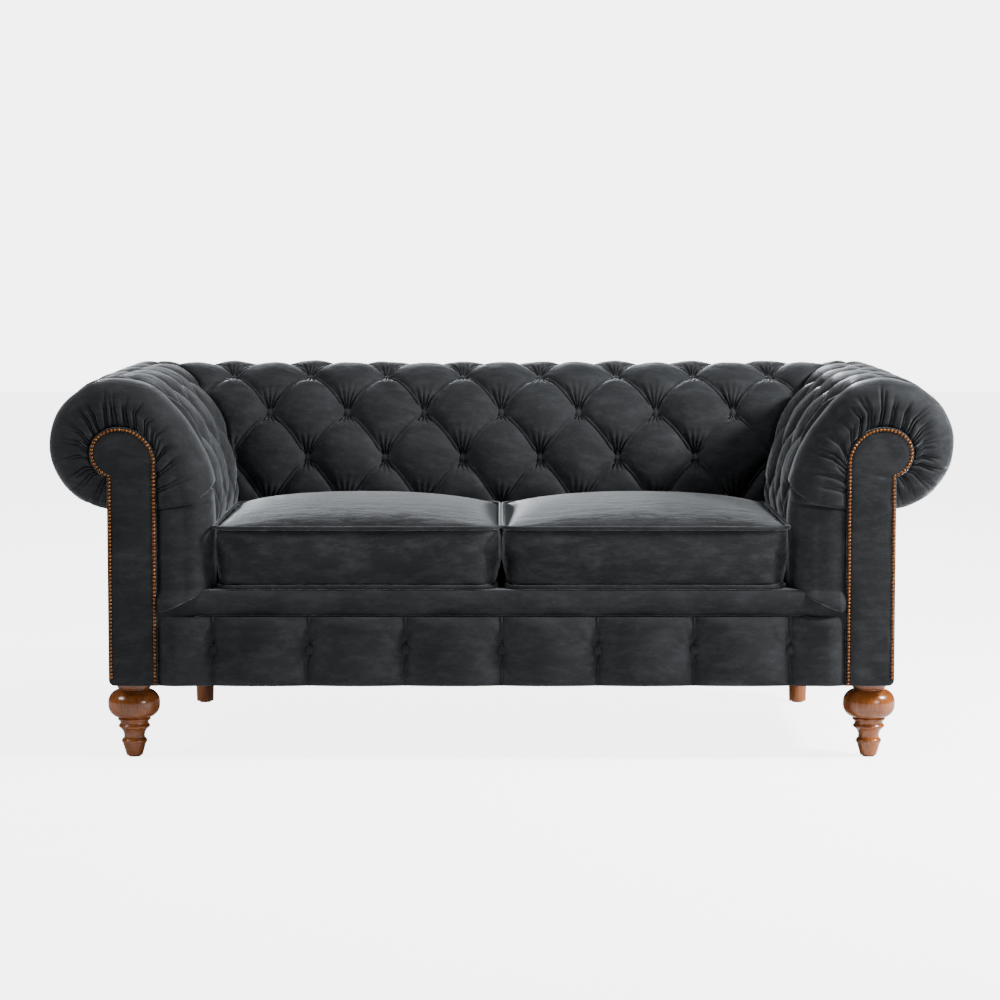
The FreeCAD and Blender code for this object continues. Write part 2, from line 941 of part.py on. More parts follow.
def seat_springs():
    """Wavy wire springs across the seat."""
    path = spring_path()
    circle = Part.Wire(Part.makeCircle(wire_radius, path.Vertexes[0].Point, Vector(1, 0, 0)))
    spring = path.makePipeShell([circle], True, False)
    return [spring.translated(Vector(x, 0, 0)) for x in spring_places()]


def spring_clips():
    """Saddles that hold each spring's ends on the rails."""
    clips = []
    bore = wire_radius + thread_clearance
    wire_height = seat_rail_top + bore
    for x in spring_places():
        for y in (frame_front + rail_thickness / 2, back_frame_rear - rail_thickness / 2):
            body = box(
                x - clip_length / 2, x + clip_length / 2,
                y - clip_width / 2, y + clip_width / 2,
                seat_rail_top, seat_rail_top + clip_height,
            )
            start = Vector(x - clip_length, y, wire_height)
            groove = cylinder(bore, 2 * clip_length, start, Vector(1, 0, 0))
            mouth = box(
                x - clip_length, x + clip_length,
                y - bore, y + bore,
                seat_rail_top - bore, wire_height,
            )
            clips.append(body.cut(groove.fuse(mouth)))
    return clips


def lip_nose_edge(x, proud):
    """Round nose of the lip, standing proud of its foam."""
    top = deck_height - lip_cover_thickness + proud
    bottom = lip_seam_height + lip_cover_thickness - proud
    middle = (top + bottom) / 2
    return arc(
        Vector(x, frame_front, top),
        Vector(x, frame_front - lip_nose - proud, middle),
        Vector(x, frame_front, bottom),
    )


def front_lip_foam():
    """Foam roll along the front edge of the deck, on the front rail."""
    x = -lip_half
    nose = lip_nose_edge(x, 0.0)
    top = nose.Vertexes[0].Point
    bottom = nose.Vertexes[1].Point
    corners = [
        bottom,
        Vector(x, frame_front, lip_bottom),
        Vector(x, lip_back, lip_bottom),
        Vector(x, lip_back, top.z),
        top,
    ]
    edges = [nose] + [line(corners[number], corners[number + 1]) for number in range(4)]
    return [prism(Part.Wire(edges), Vector(2 * lip_half, 0, 0))]


def front_lip_cover():
    """Velvet over the lip, from the deck round the nose to the border's seam."""
    x = -lip_half
    inner = lip_nose_edge(x, layer_gap)
    outer = lip_nose_edge(x, lip_cover_thickness)
    inner_top = inner.Vertexes[0].Point
    outer_top = outer.Vertexes[0].Point
    edges = [
        outer,
        line(outer.Vertexes[1].Point, inner.Vertexes[1].Point),
        inner,
        line(inner_top, Vector(x, lip_back, inner_top.z)),
        line(Vector(x, lip_back, inner_top.z), Vector(x, lip_back, outer_top.z)),
        line(Vector(x, lip_back, outer_top.z), outer_top),
    ]
    return [prism(Part.Wire(edges), Vector(2 * lip_half, 0, 0))]


def seat_deck_pad():
    """Felt and foam pad over the springs."""
    top = deck_height - deck_cloth_thickness
    return [box(-deck_half, deck_half, lip_back, back_frame_front - webbing_thickness, spring_top, top)]


def seat_deck_cloth():
    """Deck cloth that the cushions lie on."""
    bottom = deck_height - deck_cloth_thickness
    return [box(-deck_half, deck_half, lip_back, back_frame_front - webbing_thickness, bottom, deck_height)]


def border_pleats():
    """Places of the upright pleats along the front border."""
    count = int(facing_inner / border_pleat_pitch)
    return [border_pleat_pitch * number for number in range(-count, count + 1)]


def front_border_pad():
    """Wadding on the front rail under the border."""
    front_face = frame_front - border_pad_thickness
    return [box(-lip_half, lip_half, front_face, frame_front, frame_bottom, lip_seam_height)]


def front_border_cover():
    """Velvet of the front border, drawn in at its upright pleats."""
    pad_front = frame_front - border_pad_thickness
    marks = [-lip_half] + border_pleats() + [lip_half]
    valley = pad_front - border_pleat_cover
    crest = pad_front - border_cover_rise
    edges = []
    for start, end in zip(marks, marks[1:]):
        edges.append(arc(
            Vector(start, valley, border_bottom),
            Vector((start + end) / 2, crest, border_bottom),
            Vector(end, valley, border_bottom),
        ))
    corners = [
        Vector(lip_half, valley, border_bottom),
        Vector(lip_half, pad_front, border_bottom),
        Vector(-lip_half, pad_front, border_bottom),
        Vector(-lip_half, valley, border_bottom),
    ]
    edges += [line(corners[number], corners[number + 1]) for number in range(3)]
    return [prism(Part.Wire(edges), Vector(0, 0, lip_seam_height - border_bottom))]


def front_border_buttons():
    """Buttons on the pleats of the front border."""
    seat_y = frame_front - border_pad_thickness - border_pleat_cover
    outward = Vector(0, -1, 0)
    seats = [Vector(x, seat_y, border_button_height) for x in border_pleats()]
    return [button(seat, outward, border_button_radius, border_button_rise) for seat in seats]


def outside_arm_panels():
    """Velvet-covered panels on the outside of the arms."""
    outer = post_outer + panel_thickness
    return [
        side_box(side, post_outer, outer, frame_front, back_frame_rear, frame_bottom, panel_top)
        for _, side in SIDES
    ]


def outside_back_panel():
    """Velvet-covered panel on the outside of the back."""
    half = post_outer + panel_thickness
    rear = back_frame_rear + panel_thickness
    return [box(-half, half, back_frame_rear, rear, frame_bottom, panel_top)]


def dust_cover():
    """Dark cloth tacked under the frame, cut round the feet."""
    half = post_outer - dust_cover_margin
    cloth = box(
        -half, half,
        frame_front + dust_cover_margin, back_frame_rear - dust_cover_margin,
        frame_bottom - dust_cover_thickness, frame_bottom,
    )
    for x, y in foot_places():
        radius = front_foot_collar_radius if y < 0 else rear_foot_top_radius
        reach = radius + dust_cover_clearance
        cloth = cloth.cut(box(
            x - reach, x + reach, y - reach, y + reach,
            frame_bottom - 2 * dust_cover_thickness, frame_bottom + dust_cover_thickness,
        ))
    return [cloth]


def cushion_section(x, inset, middle, crown):
    """Upright section of a cushion, drawn in by inset at the front and back, with its crown."""
    pull = cushion_pull * middle
    nose = cushion_front + inset + pull
    tail = cushion_back - inset
    bottom = cushion_bottom
    corners = [
        Vector(x, nose, bottom),
        Vector(x, tail, bottom),
        Vector(x, tail, cushion_top),
        Vector(x, nose, cushion_top),
    ]
    halfway = (bottom + cushion_top) / 2
    return Part.Wire([
        line(corners[0], corners[1]),
        line(corners[1], corners[2]),
        arc(corners[2], Vector(x, (nose + tail) / 2, cushion_top + crown), corners[3]),
        arc(corners[3], Vector(x, nose - cushion_pull / 2, halfway), corners[0]),
    ])


def cushion_block(side):
    """Crowned solid of one seat cushion, its corners rounded in plan."""
    width = cushion_outer - cushion_inner
    sections = []
    corner_steps = 3
    for number in range(corner_steps + 1):
        turn = math.pi / 2 * number / corner_steps
        reach = cushion_corner * (1 - math.cos(turn))
        sections.append((reach, cushion_corner * (1 - math.sin(turn))))
    ends = [(reach, inset) for reach, inset in sections]
    ends.append((width / 6, 0.0))
    ends.append((width / 3, 0.0))
    marks = ends + [(width / 2, 0.0)] + [(width - reach, inset) for reach, inset in reversed(ends)]
    wires = []
    for reach, inset in marks:
        middle = math.sin(math.pi * min(reach, width - reach) / width)
        crown = least_bulge + cushion_crown * math.sqrt(middle)
        wires.append(cushion_section(side * (cushion_inner + reach), inset, middle, crown))
    return loft(wires)


def zip_height():
    """Height of the zip along the back of a cushion."""
    return (cushion_bottom + cushion_top) / 2


def cushion_middle(side):
    """Middle of a cushion along the sofa."""
    return side * (cushion_inner + cushion_outer) / 2


def zip_slot(side, extra):
    """Room for a zip in the back of a cushion."""
    x = cushion_middle(side)
    half = zip_length / 2 + extra
    tall = zip_width / 2 + extra
    return box(
        x - half, x + half,
        cushion_back - zip_recess, cushion_back + zip_recess,
        zip_height() - tall, zip_height() + tall,
    )


def cushion_core(side, gap):
    """Space inside a cushion's cover, drawn in by a further gap."""
    block = cushion_block(side)
    thickness = cushion_cover_thickness + gap
    width = cushion_outer - cushion_inner
    depth = cushion_back - cushion_front
    height = cushion_height + cushion_crown
    centre = Vector(cushion_middle(side), (cushion_front + cushion_back) / 2, cushion_bottom)
    shrink = FreeCAD.Matrix()
    shrink.move(centre * -1)
    shrink.scale(Vector(
        1 - 2 * thickness / width,
        1 - 2 * thickness / depth,
        1 - 2 * thickness / height,
    ))
    shrink.move(centre + Vector(0, 0, thickness))
    return block.transformGeometry(shrink)


def cushion_cover(side):
    """Velvet cover of one cushion with its wadding."""
    return cushion_block(side).cut(cushion_core(side, 0.0)).cut(zip_slot(side, layer_gap))


def cushion_foam(side):
    """Foam core of one cushion."""
    return cushion_core(side, layer_gap)


def piping_loop(side, height):
    """One piped edge round a cushion: runs and rounded corners in plan."""
    x0 = cushion_inner + piping_radius
    x1 = cushion_outer - piping_radius
    y0 = cushion_front + piping_radius
    y1 = cushion_back - piping_radius
    radius = cushion_corner - piping_radius
    corners = ((x1, y1, 0), (x0, y1, 90), (x0, y0, 180), (x1, y0, 270))

    def on_corner(corner, turn):
        x, y, start = corner
        inward_x = x - radius if start in (0, 270) else x + radius
        inward_y = y - radius if start in (0, 90) else y + radius
        angle = math.radians(start + turn)
        reach_x = side * (inward_x + radius * math.cos(angle))
        return Vector(reach_x, inward_y + radius * math.sin(angle), height)

    edges = []
    for number, corner in enumerate(corners):
        edges.append(arc(on_corner(corner, 0), on_corner(corner, 45), on_corner(corner, 90)))
        following = corners[(number + 1) % 4]
        edges.append(line(on_corner(corner, 90), on_corner(following, 0)))
    path = Part.Wire(edges)
    first = edges[0].Vertexes[0].Point
    circle = Part.Wire(Part.makeCircle(piping_radius, first, Vector(0, 1, 0)))
    return path.makePipeShell([circle], True, True)


def cushion_piping(side):
    """Piping round the bottom and top edges of one cushion."""
    return [
        piping_loop(side, cushion_bottom + piping_radius),
        piping_loop(side, cushion_top),
    ]


def cushion_zip(side):
    """Zip along the back of one cushion, a little below the velvet."""
    x = cushion_middle(side)
    half = zip_length / 2
    floor = cushion_back - zip_recess + layer_gap
    return [box(
        x - half, x + half,
        floor, floor + zip_thickness,
        zip_height() - zip_width / 2, zip_height() + zip_width / 2,
    )]


def zip_slider(side):
    """Slider of one zip, at the closed end."""
    x = cushion_middle(side) - zip_length / 2 + slider_length
    face = cushion_back - zip_recess + layer_gap + zip_thickness + slider_clearance
    return [box(
        x - slider_length / 2, x + slider_length / 2,
        face, face + slider_thickness,
        zip_height() - slider_width / 2, zip_height() + slider_width / 2,
    )]


def save(name, shapes):
    """Write one node's solids to its file."""
    solids = [solid for shape in shapes for solid in shape.Solids]
    whole = solids[0] if len(solids) == 1 else Part.makeCompound(solids)
    whole.exportStep("parts/" + name + ".step")


def main():
    """Make every piece and write it out."""
    os.makedirs("parts", exist_ok=True)
    save("front_posts", front_posts())
    save("rear_posts", rear_posts())
    save("front_seat_rail", front_seat_rail())
    save("rear_seat_rail", rear_seat_rail())
    save("side_seat_rails", side_seat_rails())
    save("centre_seat_rail", centre_seat_rail())
    save("arm_top_rails", arm_top_rails())
    save("back_top_rail", back_top_rail())
    save("arm_centre_posts", arm_centre_posts())
    save("back_centre_post", back_centre_post())
    save("arm_tacking_rails", arm_tacking_rails())
    save("back_tacking_rails", back_tacking_rails())
    save("corner_blocks", corner_blocks())
    save("corner_block_screws", [screw(seat, outward) for seat, outward in block_screws()])
    save("front_feet", front_feet())
    save("rear_feet", rear_feet())
    save("hanger_bolts", hanger_bolts())
    save("foot_glides", foot_glides())
    save("seat_springs", seat_springs())
    save("spring_clips", spring_clips())
    save("back_webbing", back_webbing())
    save("arm_webbing", arm_webbing())
    save("seat_deck_pad", seat_deck_pad())
    save("seat_deck_cloth", seat_deck_cloth())
    save("front_lip_foam", front_lip_foam())
    save("front_lip_cover", front_lip_cover())
    save("front_border_pad", front_border_pad())
    save("front_border_cover", front_border_cover())
    save("front_border_buttons", front_border_buttons())
    save("back_foam", [back_foam()])
    save("back_cover", [back_cover()])
    save("back_buttons", back_buttons())
    save("facing_boards", [facing_board(side) for _, side in SIDES])
    save("outside_arm_panels", outside_arm_panels())
    save("outside_back_panel", outside_back_panel())
    save("dust_cover", dust_cover())
    for name, side in SIDES:
        save(name + "_arm_foam", [arm_foam(side)])
        save(name + "_arm_cover", [arm_cover(side)])
        save(name + "_arm_front_roll", [arm_front_roll(side)])
        save(name + "_arm_buttons", arm_buttons(side))
        save(name + "_facing_cover", [facing_cover(side)])
        save(name + "_facing_nails", facing_nails(side))
        save(name + "_cushion_cover", [cushion_cover(side)])
        save(name + "_cushion_foam", [cushion_foam(side)])
        save(name + "_cushion_piping", cushion_piping(side))
        save(name + "_cushion_zip", cushion_zip(side))
        save(name + "_zip_slider", zip_slider(side))


if __name__ == "__main__":
    main()
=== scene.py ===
"""Two-seat chesterfield sofa: tufted velvet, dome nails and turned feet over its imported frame.

Lengths are in metres.  X runs along the sofa, Y from front to back and Z up.
"""
import math
from contextlib import contextmanager

import bmesh
import bpy
import numpy as np
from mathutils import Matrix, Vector


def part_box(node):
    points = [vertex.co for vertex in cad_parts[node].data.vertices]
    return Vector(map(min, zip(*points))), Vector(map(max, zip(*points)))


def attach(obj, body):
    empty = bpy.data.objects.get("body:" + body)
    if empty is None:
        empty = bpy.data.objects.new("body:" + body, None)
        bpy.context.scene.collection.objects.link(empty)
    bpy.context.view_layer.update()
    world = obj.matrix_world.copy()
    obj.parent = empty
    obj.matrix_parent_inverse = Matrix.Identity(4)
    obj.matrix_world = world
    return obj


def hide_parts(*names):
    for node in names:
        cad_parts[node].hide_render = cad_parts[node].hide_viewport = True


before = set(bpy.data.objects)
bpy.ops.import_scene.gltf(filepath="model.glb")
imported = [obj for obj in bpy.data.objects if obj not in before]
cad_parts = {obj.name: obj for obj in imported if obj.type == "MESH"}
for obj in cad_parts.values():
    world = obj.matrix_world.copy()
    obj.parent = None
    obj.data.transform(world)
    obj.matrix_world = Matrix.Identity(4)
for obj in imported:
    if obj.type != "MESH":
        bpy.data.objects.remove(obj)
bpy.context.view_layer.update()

bl_info = {
    "name": "Chesterfield Sofa",
    "version": (1, 0, 0),
    "blender": (4, 5, 0),
    "location": "View3D > Sidebar > Sofa",
    "description": "Dresses a two-seat chesterfield sofa in velvet, polished wood and dome nails",
    "category": "Add Mesh",
}

# Profile of the arms and the back, as on the frame
SEAT_HALF = 0.566
SEAT_BACK = 0.141
DECK_HEIGHT = 0.335
SWEEP_START = 0.470
ROLL_RADIUS = 0.126
ROLL_OUT = 0.183
ROLL_HEIGHT = 0.617
PANEL_INSET = 0.194
SWEEP_RISE = ROLL_HEIGHT - SWEEP_START
SWEEP_RADIUS = (ROLL_OUT ** 2 + SWEEP_RISE ** 2 - ROLL_RADIUS ** 2) / (2 * (ROLL_OUT - ROLL_RADIUS))
SWEEP_ANGLE = math.atan2(SWEEP_RISE, SWEEP_RADIUS - ROLL_OUT)
FACE_LENGTH = SWEEP_START - DECK_HEIGHT
ROLL_START = FACE_LENGTH + SWEEP_RADIUS * SWEEP_ANGLE
ROLL_END_ANGLE = 2 * math.pi - math.acos((ROLL_OUT - PANEL_INSET) / ROLL_RADIUS)
ROLL_END = ROLL_START + ROLL_RADIUS * (ROLL_END_ANGLE - SWEEP_ANGLE)

# Tufting lattice
PITCH = 0.083
ROW_FIRST = 0.112
ROW_STEP = 0.108
LAST_ROW = 4.0
PLEAT_SPACING = 2 * PITCH * ROW_STEP / math.hypot(PITCH, ROW_STEP)
ARM_ORIGIN = -0.259
BAND_BACK = -0.342
LATTICE_STEPS = 44
LATTICE_CROWDING = 0.7

# Folds, pits and seams of the tufting
FOLD_REACH = 0.030
CHANNEL_REACH = 0.035
PIT_REACH = 0.027
RIDGE_HEIGHT = 0.0075
RIDGE_WIDTH = 0.0019
CREASE_DEPTH = 0.0085
SEAM_REACH = 0.030
BAND_SEAM_REACH = 0.022
BUTTON_TO_SEAM = 0.030
COVER_MERGE = 0.00012

# Rolled front end of each arm
ROLL_FRONT_START = -0.380
ROLL_FRONT_LENGTH = 0.060
ROLL_FRONT_INSET = 0.055
ROLL_FRONT_FACE = ROLL_FRONT_START - ROLL_FRONT_LENGTH
ARM_HEM = 0.052
ARM_PADDING = 0.003
TUCK_PLACE = 0.169
TUCK_LEAN = 0.028
TUCK_DEPTH = 0.007
ARM_BULGE = 0.009
ARM_BULGE_REACH = 0.13

# Way forward from the tufted cover and lift over the profile, across the plain band
BAND_STEPS = (
    (0.0, -0.013), (0.0010, -0.008), (0.0030, -0.003), (0.0065, 0.0005), (0.012, 0.0022),
    (0.020, ARM_PADDING), (0.029, ARM_PADDING),
)

# Facings
FACING_INNER = 0.672
FACING_OUTER = 0.768
FACING_FRONT = -0.447
FACING_BACK = -0.425
FACING_BOTTOM = 0.147
FACING_CORNER = 0.012
SCROLL_RADIUS = 0.072
SCROLL_HEIGHT = 0.582
LOBE_SHIFT = 0.008
LOBE_RISE = 0.021
LOBE_RADIUS = SCROLL_RADIUS - math.hypot(LOBE_SHIFT, LOBE_RISE)
SCROLL_CENTRE = FACING_INNER + SCROLL_RADIUS
LOBE_CENTRE = SCROLL_CENTRE + LOBE_SHIFT
LOBE_HEIGHT = SCROLL_HEIGHT + LOBE_RISE
LOBE_MEETING = math.atan2(LOBE_RISE, LOBE_SHIFT)
LOBE_NOTCH = -math.acos((FACING_OUTER - LOBE_CENTRE) / LOBE_RADIUS)

# Way in from a facing's edge and depth behind its front, from the board out over the padding
FACING_STEPS = (
    (0.0, FACING_BACK - FACING_FRONT), (0.0, 0.004), (0.0012, 0.0018), (0.0028, 0.0007), (0.0042, 0.0005),
    (0.0052, 0.0007), (0.0062, 0.0005), (0.0085, -0.0006), (0.013, -0.0016), (0.020, -0.0022),
    (0.029, -0.0026), (0.040, -0.0027),
)

# Front border and lip
BORDER_PITCH = 0.188
BORDER_BUTTON_HEIGHT = 0.218
BORDER_BOTTOM = 0.147
BORDER_VALLEY = -0.438
BORDER_CREST = -0.444
BORDER_SWELL = 0.016
BORDER_CROWDING = 0.62
BORDER_PIT = 0.006
BORDER_PIT_REACH = 0.028
BORDER_RIDGE = 0.0050
BORDER_RIDGE_WIDTH = 0.0015
LIP_SEAM = 0.283
LIP_NOSE = -0.446
FRAME_FRONT = -0.425
LIP_BACK = -0.382
LIP_END = 0.09
LIP_END_DIP = 0.020

# Outside panels and cloths
PANEL_PADDING = 0.003
PANEL_EDGE = 0.05
PANEL_RETURN = 0.005
CLOTH_STEP = 0.02
CLOTH_SAG = 0.0008

# Square cuts in the dust cover round the right feet: middle and half width
FOOT_CUTS = ((0.725, -0.390, 0.035), (0.654, 0.315, 0.025))

# Seat cushions
CUSHION_INNER = 0.0015
CUSHION_OUTER = 0.5645
CUSHION_FRONT = -0.440
CUSHION_BACK = 0.1395
CUSHION_BOTTOM = 0.3355
CUSHION_TOP = 0.4565
CUSHION_CROWN = 0.041
CUSHION_CORNER = 0.025
CUSHION_TAPER = 0.009
PIPING_RADIUS = 0.004
CUSHION_CENTRE = ((CUSHION_INNER + CUSHION_OUTER) / 2, (CUSHION_FRONT + CUSHION_BACK) / 2)
CUSHION_CLOTH = {
    "quality": 5, "mass": 0.3, "tension_stiffness": 25, "compression_stiffness": 25,
    "shear_stiffness": 15, "bending_stiffness": 4, "use_pressure": True,
    "uniform_pressure_force": 4.0, "vertex_group_mass": "seams",
}
TOOTH_PITCH = 0.0024
TOOTH_WIDTH = 0.0014
TOOTH_HALF_HEIGHT = 0.0016
TOOTH_STAGGER = 0.0008
ZIP_END = 0.004

SIDES = (("left", -1), ("right", 1))
SEED = 11
WHITE = (1.0, 1.0, 1.0, 1.0)
FLOOR_HALF = 14.0
BOX_FACES = ((3, 2, 1, 0), (4, 5, 6, 7), (0, 1, 5, 4), (1, 2, 6, 5), (2, 3, 7, 6), (3, 0, 4, 7))


class SofaSizes(bpy.types.PropertyGroup):
    """Sizes of the upholstery that a maker would change."""

    pleat_depth: bpy.props.FloatProperty(
        name="Pleat depth", description="How far the pleats lie under the profile",
        default=0.010, unit="LENGTH",
    )
    pillow_crown: bpy.props.FloatProperty(
        name="Pillow crown", description="How far a diamond swells over the profile",
        default=0.013, unit="LENGTH",
    )
    button_pit: bpy.props.FloatProperty(
        name="Button pit", description="How much deeper the cover is pulled at a button",
        default=0.009, unit="LENGTH",
    )
    pleat_bow: bpy.props.FloatProperty(
        name="Pleat bow", description="How far a pleat bows upwards between two buttons",
        default=0.004, unit="LENGTH",
    )
    gather_depth: bpy.props.FloatProperty(
        name="Gather depth", description="Depth of the gathers round a facing",
        default=0.0065, unit="LENGTH",
    )
    cushion_swell: bpy.props.FloatProperty(
        name="Cushion swell", description="How far a seat cushion may puff out of its seams",
        default=0.012, unit="LENGTH",
    )


class SofaColours(bpy.types.PropertyGroup):
    """Colours of the finishes."""

    velvet: bpy.props.FloatVectorProperty(
        name="Velvet", description="Colour of the pile", subtype="COLOR", size=4,
        default=(0.0080, 0.0088, 0.0100, 1.0),
    )
    velvet_light: bpy.props.FloatVectorProperty(
        name="Brushed velvet", description="Colour where the pile is brushed the other way",
        subtype="COLOR", size=4, default=(0.042, 0.045, 0.049, 1.0),
    )
    wood: bpy.props.FloatVectorProperty(
        name="Polished wood", description="Colour of the turned feet", subtype="COLOR", size=4,
        default=(0.30, 0.085, 0.016, 1.0),
    )
    nail: bpy.props.FloatVectorProperty(
        name="Dome nail", description="Colour of the aged copper nails", subtype="COLOR", size=4,
        default=(0.36, 0.14, 0.05, 1.0),
    )


def smoothstep(value):
    """Smooth rise from 0 to 1 for values from 0 to 1."""
    share = np.clip(value, 0.0, 1.0)
    return share * share * (3.0 - 2.0 * share)


def unevenness(across, along, seed, count, shortest, longest):
    """Sum of seeded waves over a surface, about -1 to 1."""
    rng = np.random.default_rng(seed)
    angles = rng.uniform(0, 2 * math.pi, count)
    lengths = rng.uniform(shortest, longest, count)
    phases = rng.uniform(0, 2 * math.pi, count)
    total = np.zeros(np.broadcast(across, along).shape)
    for angle, length, phase in zip(angles, lengths, phases):
        reach = across * math.cos(angle) + along * math.sin(angle)
        total = total + np.sin(2 * math.pi * reach / length + phase)
    return total / math.sqrt(2 * count)


def profile(along, rise):
    """Distance out from the inner face and height, at lengths along the profile, raised off it."""
    along, rise = np.broadcast_arrays(np.asarray(along, float), np.asarray(rise, float))
    sweep = (along - FACE_LENGTH) / SWEEP_RADIUS
    turn = SWEEP_ANGLE + (along - ROLL_START) / ROLL_RADIUS
    stretches = [along <= FACE_LENGTH, along <= ROLL_START]
    out = np.select(stretches, [
        -rise,
        SWEEP_RADIUS - (SWEEP_RADIUS + rise) * np.cos(sweep),
    ], ROLL_OUT - (ROLL_RADIUS + rise) * np.cos(turn))
    up = np.select(stretches, [
        DECK_HEIGHT + along,
        SWEEP_START + (SWEEP_RADIUS + rise) * np.sin(sweep),
    ], ROLL_HEIGHT + (ROLL_RADIUS + rise) * np.sin(turn))
    return out, up


@contextmanager
def edited(piece):
    """A piece's mesh, open for changes."""
    mesh = bmesh.new()
    mesh.from_mesh(piece.data)
    yield mesh
    mesh.to_mesh(piece.data)
    mesh.free()


def mesh_piece(name, points, faces, material, body="frame", slot="velvet", smooth=True):
    """A mesh object of the sofa, riding on its body, with one material."""
    mesh = bpy.data.meshes.new(name)
    mesh.from_pydata(np.asarray(points, float).tolist(), [], faces)
    mesh.update()
    mesh.polygons.foreach_set("use_smooth", [smooth] * len(mesh.polygons))
    piece = bpy.data.objects.new(name, mesh)
    bpy.context.collection.objects.link(piece)
    piece.data.materials.append(material)
    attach(piece, body)
    return piece


def grid_faces(rows, columns, start=0, closed=False):
    """Quads of a grid of points stored row by row, closed round its columns if asked."""
    faces = []
    width = columns if closed else columns - 1
    for row in range(rows - 1):
        for column in range(width):
            following = (column + 1) % columns
            low = start + row * columns
            high = low + columns
            faces.append((low + column, low + following, high + following, high + column))
    return faces


def merge_points(piece, distance):
    """Joins points that lie together and makes the faces agree."""
    with edited(piece) as mesh:
        bmesh.ops.remove_doubles(mesh, verts=mesh.verts, dist=distance)
        bmesh.ops.dissolve_degenerate(mesh, edges=mesh.edges, dist=distance)
        bmesh.ops.recalc_face_normals(mesh, faces=mesh.faces)


def remove_loose(piece):
    """Deletes points that no face uses."""
    with edited(piece) as mesh:
        loose = [vertex for vertex in mesh.verts if not vertex.link_faces]
        bmesh.ops.delete(mesh, geom=loose, context="VERTS")


def face_outwards(piece, outward):
    """Turns the faces over if they look away from a direction on the whole."""
    direction = Vector(outward)
    if sum(polygon.normal.dot(direction) * polygon.area for polygon in piece.data.polygons) < 0:
        piece.data.flip_normals()


def grid_piece(name, grid, material, outward, body="frame", slot="velvet", merge=0.0):
    """A mesh object from rows of points, facing a direction."""
    piece = mesh_piece(name, grid.reshape(-1, 3), grid_faces(*grid.shape[:2]), material, body, slot)
    if merge:
        merge_points(piece, merge)
    face_outwards(piece, outward)
    return piece


def connect(tree, value, socket):
    """Feeds a socket from another one, or sets it to a plain value."""
    if isinstance(value, bpy.types.NodeSocket):
        tree.links.new(value, socket)
    else:
        socket.default_value = value


def add_node(tree, kind, inputs=(), **settings):
    """A new node with its settings, and its inputs fed or set by name or number."""
    node = tree.nodes.new(kind)
    for key, value in settings.items():
        setattr(node, key, value)
    for key, value in dict(inputs).items():
        connect(tree, value, node.inputs[key])
    return node


def object_noise(tree, scale, stretch=(1.0, 1.0, 1.0), detail=3.0, roughness=0.55):
    """Noise over the object's own coordinates, stretched along its axes."""
    place = add_node(tree, "ShaderNodeTexCoord").outputs["Object"]
    mapping = add_node(tree, "ShaderNodeMapping", {"Vector": place, "Scale": stretch})
    inputs = {"Vector": mapping.outputs["Vector"], "Scale": scale, "Detail": detail, "Roughness": roughness}
    return add_node(tree, "ShaderNodeTexNoise", inputs).outputs["Fac"]


def ramped(tree, value, low, high, shades=(0.0, 1.0)):
    """A value through a colour ramp, from one shade to another between two places."""
    ramp = add_node(tree, "ShaderNodeValToRGB", {"Fac": value})
    for element, place, shade in zip(ramp.color_ramp.elements, (low, high), shades):
        element.position = place
        element.color = (shade, shade, shade, 1.0)
    return ramp.outputs["Color"]


def math_node(tree, operation, *values):
    """A sum, product or like of values, each of them a socket or a number."""
    return add_node(tree, "ShaderNodeMath", enumerate(values), operation=operation).outputs[0]


def blended(tree, share, first, second):
    """A colour between two colours."""
    return add_node(tree, "ShaderNodeMix", {0: share, 6: first, 7: second}, data_type="RGBA").outputs[2]


def relief(tree, height, strength, distance):
    """A normal from the height of a surface."""
    inputs = {"Height": height, "Strength": strength, "Distance": distance}
    return add_node(tree, "ShaderNodeBump", inputs).outputs["Normal"]


def shade_of(colour, factor):
    """A colour made darker or lighter."""
    return tuple(channel * factor for channel in colour[:3]) + (1.0,)


def finish(name, build):
    """The material of a name, made if it isn't there: build gives what its shader's inputs get."""
    material = bpy.data.materials.get(name)
    if material is None:
        material = bpy.data.materials.new(name)
        material.use_nodes = True
        tree = material.node_tree
        for label, value in build(tree).items():
            connect(tree, value, tree.nodes["Principled BSDF"].inputs[label])
    return material


def pattern(tree, build, given):
    """Colour and height of a shared node group, made if it isn't there, with its inputs set."""
    group = bpy.data.node_groups.get(build.__name__)
    if group is None:
        group = bpy.data.node_groups.new(build.__name__, "ShaderNodeTree")
        for label, value in given.items():
            kind = "NodeSocketFloat" if isinstance(value, float) else "NodeSocketColor"
            group.interface.new_socket(label, in_out="INPUT", socket_type=kind)
        group.interface.new_socket("Colour", in_out="OUTPUT", socket_type="NodeSocketColor")
        group.interface.new_socket("Height", in_out="OUTPUT", socket_type="NodeSocketFloat")
        colour, height = build(group, group.nodes.new("NodeGroupInput").outputs)
        add_node(group, "NodeGroupOutput", {"Colour": colour, "Height": height})
    node = add_node(tree, "ShaderNodeGroup", given, node_tree=group)
    return node.outputs["Colour"], node.outputs["Height"]


